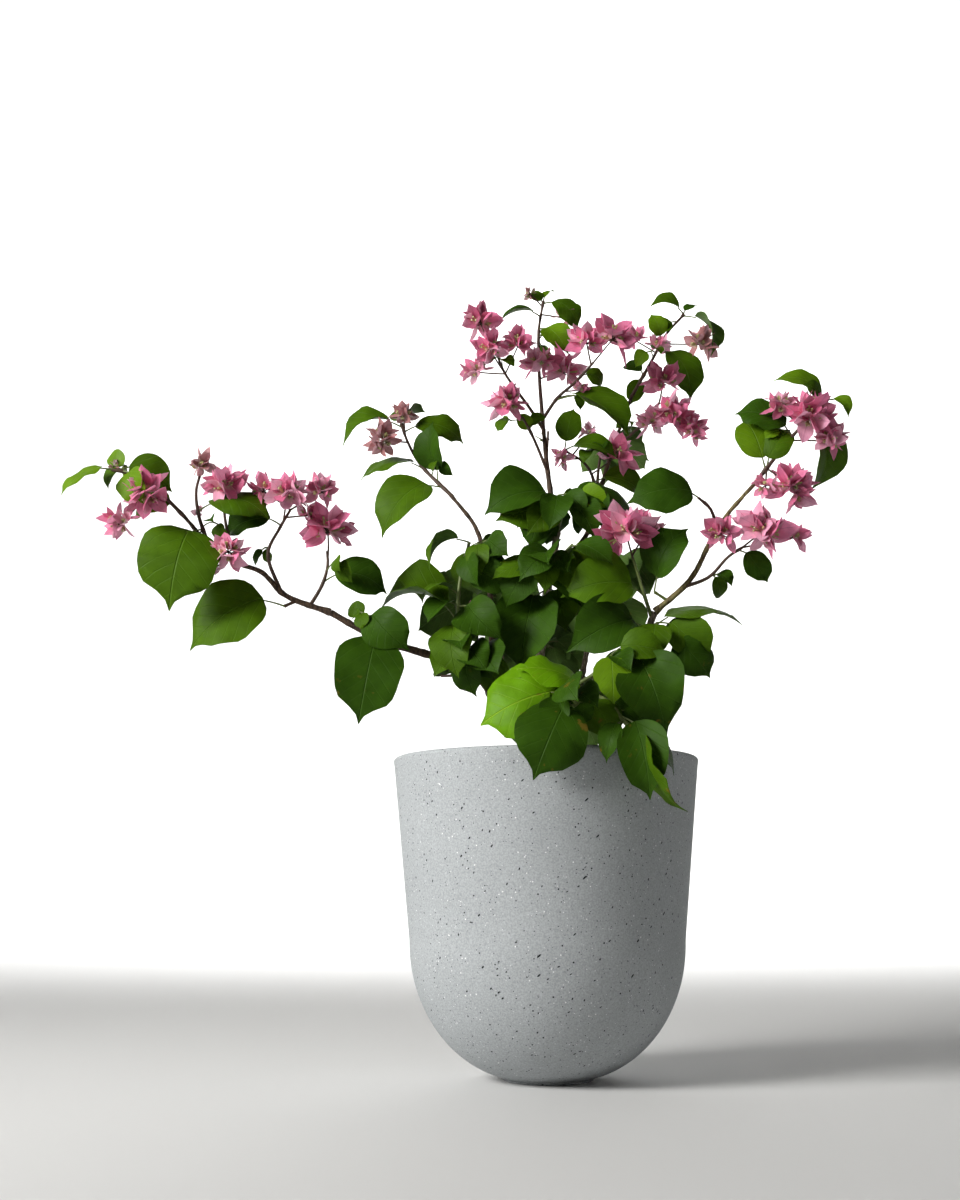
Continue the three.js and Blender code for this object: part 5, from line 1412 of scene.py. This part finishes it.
class WoodSettings(bpy.types.PropertyGroup):
    """Colours and relief of the trunk, boughs and stems."""

    relief: length_property("Bark relief", "Depth of the bark's furrows on the trunk", 0.0022)
    grey: colour_property("Grey bark", "Old bark of the trunk and lower boughs", "#8b7f6c")
    brown: colour_property("Brown bark", "Bark of the thinner upper boughs", "#54402f")
    olive: colour_property("Olive bark", "Half-ripe wood of the right-hand bough", "#75683f")
    green_stem: colour_property("Green stem", "Petioles and soft twigs", "#6b7a3a")
    lime_stem: colour_property("Lime stem", "Petioles of the yellow-green leaves", "#93a84a")
    purple_stem: colour_property("Purplish stem", "Flower stalks and ripening twigs", "#59402f")


class LeafSettings(bpy.types.PropertyGroup):
    """Form and colours of the leaves."""

    fold: share_property("Fold", "How far a blade's halves fold up off its midrib", 0.36, 0.0, 1.0)
    ripple: share_property("Ripple", "Height of the waves along a blade's margin", 0.03, 0.0, 0.2)
    # Dark leaves are painted shade and light leaves painted light, by where they sit in the crown.
    dark: colour_property("Dark leaf", "Shaded inner leaves", "#2d4a0a")
    mid: colour_property("Mid leaf", "Full-grown leaves", "#405e08")
    light: colour_property("Light leaf", "Young leaves", "#5a7c0c")
    lime: colour_property("Lime leaf", "The yellow-green leaves over the rim", "#5c8a04")
    underside: colour_property("Underside", "Paler matte undersides", "#4d6a2c")


class BlossomSettings(bpy.types.PropertyGroup):
    """Form and colours of the bracts and flowers."""

    spacing: length_property("Flower spacing", "Cluster size that adds one more flower", 0.0056)
    bract_share: share_property("Bract length", "Bract length against its cluster's size", 0.455, 0.1, 1.0)
    # Pale bracts are painted light and dusky bracts painted shade on the one pink.
    light: colour_property("Light bract", "Palest pink bracts", "#fba6c4")
    bright: colour_property("Bright bract", "Fresh pink bracts", "#ee6e9a")
    dusky: colour_property("Dusky bract", "Older rose bracts", "#c65078")
    young: colour_property("Young bract", "Brownish pink bracts that are still opening", "#ab6668")
    foot: colour_property("Bract foot", "Pale foot of each grown bract", "#d9b2a2")
    young_foot: colour_property("Young bract foot", "Greenish foot of each young bract", "#a5a06a")
    tube: colour_property("Flower tube", "Slim tubes between the bracts", "#c9c08a")


class StageSettings(bpy.types.PropertyGroup):
    """Camera and paper."""

    camera_place: bpy.props.FloatVectorProperty(
        name="Camera place", description="Where the camera stands", default=(-0.065, -1.440, 0.176),
        unit="LENGTH", subtype="TRANSLATION")
    camera_rise: bpy.props.FloatProperty(
        name="Camera rise", description="How far the camera looks up", default=math.radians(11.4),
        unit="ROTATION", subtype="ANGLE")
    lens: bpy.props.FloatProperty(
        name="Lens", description="Focal length on a 36 mm sensor", default=43.35, unit="CAMERA")
    paper: colour_property("Paper", "Colour of the studio paper", "#d6d6d5")


def ridden(piece, slot, *nodes):
    """Tie a piece to the object's one body and hide the solids that it stands for."""
    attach(piece, "root")
    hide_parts(*nodes)
    return piece


class MakePlanter(bpy.types.Operator):
    """Turn the pot on its foot and finish it as ground terrazzo"""

    bl_idname = "bougainvillea.make_planter"
    bl_label = "Make Planter"

    def execute(self, context):
        settings = context.scene.bougainvillea_planter
        height = settings.height / MM
        rim = settings.rim_radius / MM
        wall = settings.wall / MM
        lip = settings.lip / MM
        inset, eased = POT_FOOT_EDGE
        profile = [(0.0, 0.0), (POT_FOOT_RADIUS - inset, 0.0), (POT_FOOT_RADIUS, eased)]
        profile += [(POT_FOOT_RADIUS, POT_FOOT_HEIGHT)]
        profile += pot_face(0.0, height - 2 * lip, BELLY_START, BELLY_STEPS, rim, height)
        profile += lip_turn(rim - lip, 0, 90, lip, height)
        profile += lip_turn(rim - wall + lip, 90, 180, lip, height)
        profile += pot_face(wall, height - 2 * lip, 0, BELLY_STEPS // 2, rim, height)[::-1]
        profile += [(0.0, wall)]
        finish = terrazzo_material(settings.body, settings.shade, settings.dark_chips, settings.white_chips)
        ridden(spun("planter", profile, POT_SIDES, [finish]), "pot", "pot")
        return {"FINISHED"}


def crumbs_on(top, radius, material):
    """Loose crumbs strewn over the soil: small lumps, each stretched and turned."""
    draw = seeded(CRUMB_SEED)
    crumbs = Gathering()
    lump = lump_shape()
    for _ in range(CRUMBS):
        around = 2 * math.pi * draw()
        out = radius * math.sqrt(draw(*CRUMB_SPREAD))
        size = draw(*CRUMB_SIZE)
        stretch = np.array([draw(*span) for span in CRUMB_STRETCH]) * size
        turn = 2 * math.pi * draw()
        x, y, z = (lump.points * stretch).T
        turned_x = x * math.cos(turn) - y * math.sin(turn)
        turned_y = x * math.sin(turn) + y * math.cos(turn)
        seat = (out * math.cos(around), out * math.sin(around), top - CRUMB_SUNK + CRUMB_PERCH * size)
        crumbs.add(lump, np.stack((turned_x, turned_y, z), 1) + np.array(seat), 0)
    return crumbs.piece("soil_crumbs", [material])


class FillSoil(bpy.types.Operator):
    """Fill the pot with potting mix and scatter crumbs over it"""

    bl_idname = "bougainvillea.fill_soil"
    bl_label = "Fill Soil"

    def execute(self, context):
        settings = context.scene.bougainvillea_planter
        top = settings.height / MM - settings.soil_depth / MM
        radius = settings.rim_radius / MM - settings.wall / MM - SOIL_CLEAR
        profile = [(0.0, top - SOIL_THICK), (radius - SOIL_FOOT_INSET, top - SOIL_THICK)]
        profile += [(radius * i / SOIL_RINGS, top - SOIL_SUNK) for i in range(SOIL_RINGS, -1, -1)]
        finish = soil_material(settings.soil, settings.soil_shade, settings.soil_fibre)
        soil = spun("soil_fill", profile, SOIL_SIDES, [finish], crease=80.0)
        for vert in soil.data.vertices:
            if vert.co.z > (top - SOIL_SKIN) * MM:
                lift = sum(height * noise.noise(vert.co * lumps) for height, lumps in SOIL_LUMPS)
                vert.co.z += min(lift, SOIL_HIGHEST) * MM
        ridden(soil, "soil", "soil")
        crumbs = crumbs_on(top, radius, finish)
        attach(crumbs, "root")
        return {"FINISHED"}


class GrowWood(bpy.types.Operator):
    """Grow the trunk and the boughs with their bark"""

    bl_idname = "bougainvillea.grow_wood"
    bl_label = "Grow Trunk and Boughs"

    def execute(self, context):
        settings = context.scene.bougainvillea_wood
        limbs = grow_limbs()
        barks = {bark: bark_material(name, getattr(settings, bark), colour(deep), colour(pale))
                 for name, bark, deep, pale in BARK_FINISHES}
        trunk = limbs["trunk"]
        depth = settings.relief / MM
        made = tube_piece("trunk_bark", trunk["route"], TRUNK_RINGS, TRUNK_SIDES, trunk_radius,
                          bark_relief(depth, *TRUNK_FURROWS), barks["grey"])
        ridden(made, "wood", "trunk")
        for index, row in enumerate(BOUGHS):
            bough = limbs[row["name"]]
            relief = bark_relief(depth * BOUGH_BARK, *BOUGH_FURROWS, BOUGH_FURROWS_APART * index)
            made = tube_piece(row["name"] + "_bark", bough["route"],
                              round(bough["route"].length / RING_SPACING), BOUGH_SIDES,
                              bough_radius(bough, limbs), relief, barks[row["bark"]])
            ridden(made, "wood", row["name"])
        return {"FINISHED"}


class GrowCrown(bpy.types.Operator):
    """Grow twigs, leaves and blossom on the limbs by the solids' own rule"""

    bl_idname = "bougainvillea.grow_crown"
    bl_label = "Grow Crown"

    def execute(self, context):
        wood = context.scene.bougainvillea_wood
        leaf = context.scene.bougainvillea_leaves
        blossom = context.scene.bougainvillea_blossom
        crown = Crown(grow_limbs())
        for row in MASSES:
            crown.mass(crown.limbs[row["name"]])
        leaves = [leaf_material(name, getattr(leaf, tone), colour(veins), roughness, gloss)
                  for name, tone, veins, roughness, gloss in LEAF_FINISHES]
        stems = [stem_material(name, getattr(wood, kind), colour(blotch), roughness)
                 for name, kind, blotch, roughness in STEM_FINISHES]
        bracts = [bract_material(name, getattr(blossom, tone), colour(deep), getattr(blossom, foot))
                  for name, tone, deep, foot in BRACT_FINISHES]
        name, kind, blotch, roughness = TUBE_FINISH
        bracts.append(stem_material(name, getattr(blossom, kind), colour(blotch), roughness))
        for part, nodes in crown.nodes.items():
            ridden(crown.leaves[part].piece(f"leaves_{part}", leaves), "foliage", *nodes)
            ridden(crown.stems[part].piece(f"twigs_{part}", stems), "foliage", *nodes)
            ridden(crown.blossom[part].piece(f"blossom_{part}", bracts), "foliage", *nodes)
        return {"FINISHED"}


def area_light(name, place, aim, size, power, tint, spread):
    """A round soft light that looks at a point, in metres, watts and degrees of spread."""
    light = bpy.data.lights.new(name, "AREA")
    light.shape = "DISK"
    light.size = size
    light.energy = power
    light.color = tint
    light.spread = math.radians(spread)
    made = bpy.data.objects.new(name, light)
    made.location = place
    made.rotation_mode = "QUATERNION"
    made.rotation_quaternion = (Vector(aim) - Vector(place)).to_track_quat("-Z", "Y")
    bpy.context.scene.collection.objects.link(made)


class SetStage(bpy.types.Operator):
    """Set the camera, the studio paper and the lights"""

    bl_idname = "bougainvillea.set_stage"
    bl_label = "Set Stage"

    def execute(self, context):
        settings = context.scene.bougainvillea_stage
        lens = bpy.data.cameras.new("photo_camera")
        lens.lens = settings.lens
        lens.sensor_width = 36.0
        lens.sensor_fit = "AUTO"
        camera = bpy.data.objects.new("photo_camera", lens)
        camera.location = settings.camera_place
        camera.rotation_euler = (math.radians(90) + settings.camera_rise, 0.0, 0.0)
        context.scene.collection.objects.link(camera)
        context.scene.camera = camera
        wall = SWEEP_RADIUS + SWEEP_BACKING
        sweep = [(0.0, -SWEEP_THICK), (wall, -SWEEP_THICK), (wall, SWEEP_TOP)]
        sweep += [(SWEEP_RADIUS, SWEEP_TOP), (SWEEP_RADIUS, SWEEP_WALL_FOOT)]
        for degrees in range(0, 91, 10):
            angle = math.radians(degrees)
            sweep.append((SWEEP_RADIUS - SWEEP_TURN + SWEEP_TURN * math.cos(angle),
                          SWEEP_TURN - SWEEP_TURN * math.sin(angle)))
        sweep += [(SWEEP_FLAT, -SWEEP_BELOW_FOOT), (0.0, -SWEEP_BELOW_FOOT)]
        floor = spun("studio_sweep", sweep, SWEEP_SIDES, [stage_material(settings.paper)])
        area_light("key_light", **KEY_LIGHT)
        area_light("backdrop_light", **BACKDROP_LIGHT)
        world = bpy.data.worlds.new("studio")
        world.use_nodes = True
        sky = world.node_tree.nodes["Background"]
        sky.inputs["Color"].default_value = (1.0, 1.0, 1.0, 1.0)
        sky.inputs["Strength"].default_value = SKY_STRENGTH
        context.scene.world = world
        # Plain sRGB keeps the greens and pinks as deep as they are to the eye
        context.scene.view_settings.view_transform = "Standard"
        return {"FINISHED"}


class PartsPanel(bpy.types.Panel):
    """Lists the sizes, the colours and the steps that make the plant"""

    bl_idname = "BOUGAINVILLEA_PT_parts"
    bl_label = "Potted Bougainvillea"
    bl_space_type = "VIEW_3D"
    bl_region_type = "UI"
    bl_category = "Bougainvillea"

    def draw(self, context):
        for name, settings in GROUPS.items():
            box = self.layout.box()
            box.label(text=settings.__doc__)
            for key in settings.__annotations__:
                box.prop(getattr(context.scene, name), key)
        for operator in OPERATORS:
            self.layout.operator(operator.bl_idname)


GROUPS = {
    "bougainvillea_planter": PlanterSettings,
    "bougainvillea_wood": WoodSettings,
    "bougainvillea_leaves": LeafSettings,
    "bougainvillea_blossom": BlossomSettings,
    "bougainvillea_stage": StageSettings,
}
OPERATORS = (MakePlanter, FillSoil, GrowWood, GrowCrown, SetStage)


def register():
    for item in (*GROUPS.values(), *OPERATORS, PartsPanel):
        bpy.utils.register_class(item)
    for name, settings in GROUPS.items():
        setattr(bpy.types.Scene, name, bpy.props.PointerProperty(type=settings))


def unregister():
    for name in GROUPS:
        delattr(bpy.types.Scene, name)
    for item in (PartsPanel, *reversed(OPERATORS), *reversed(list(GROUPS.values()))):
        bpy.utils.unregister_class(item)


def main():
    """Make every piece in order."""
    register()
    bpy.ops.bougainvillea.make_planter()
    bpy.ops.bougainvillea.fill_soil()
    bpy.ops.bougainvillea.grow_wood()
    bpy.ops.bougainvillea.grow_crown()
    bpy.ops.bougainvillea.set_stage()


if __name__ == "__main__":
    main()
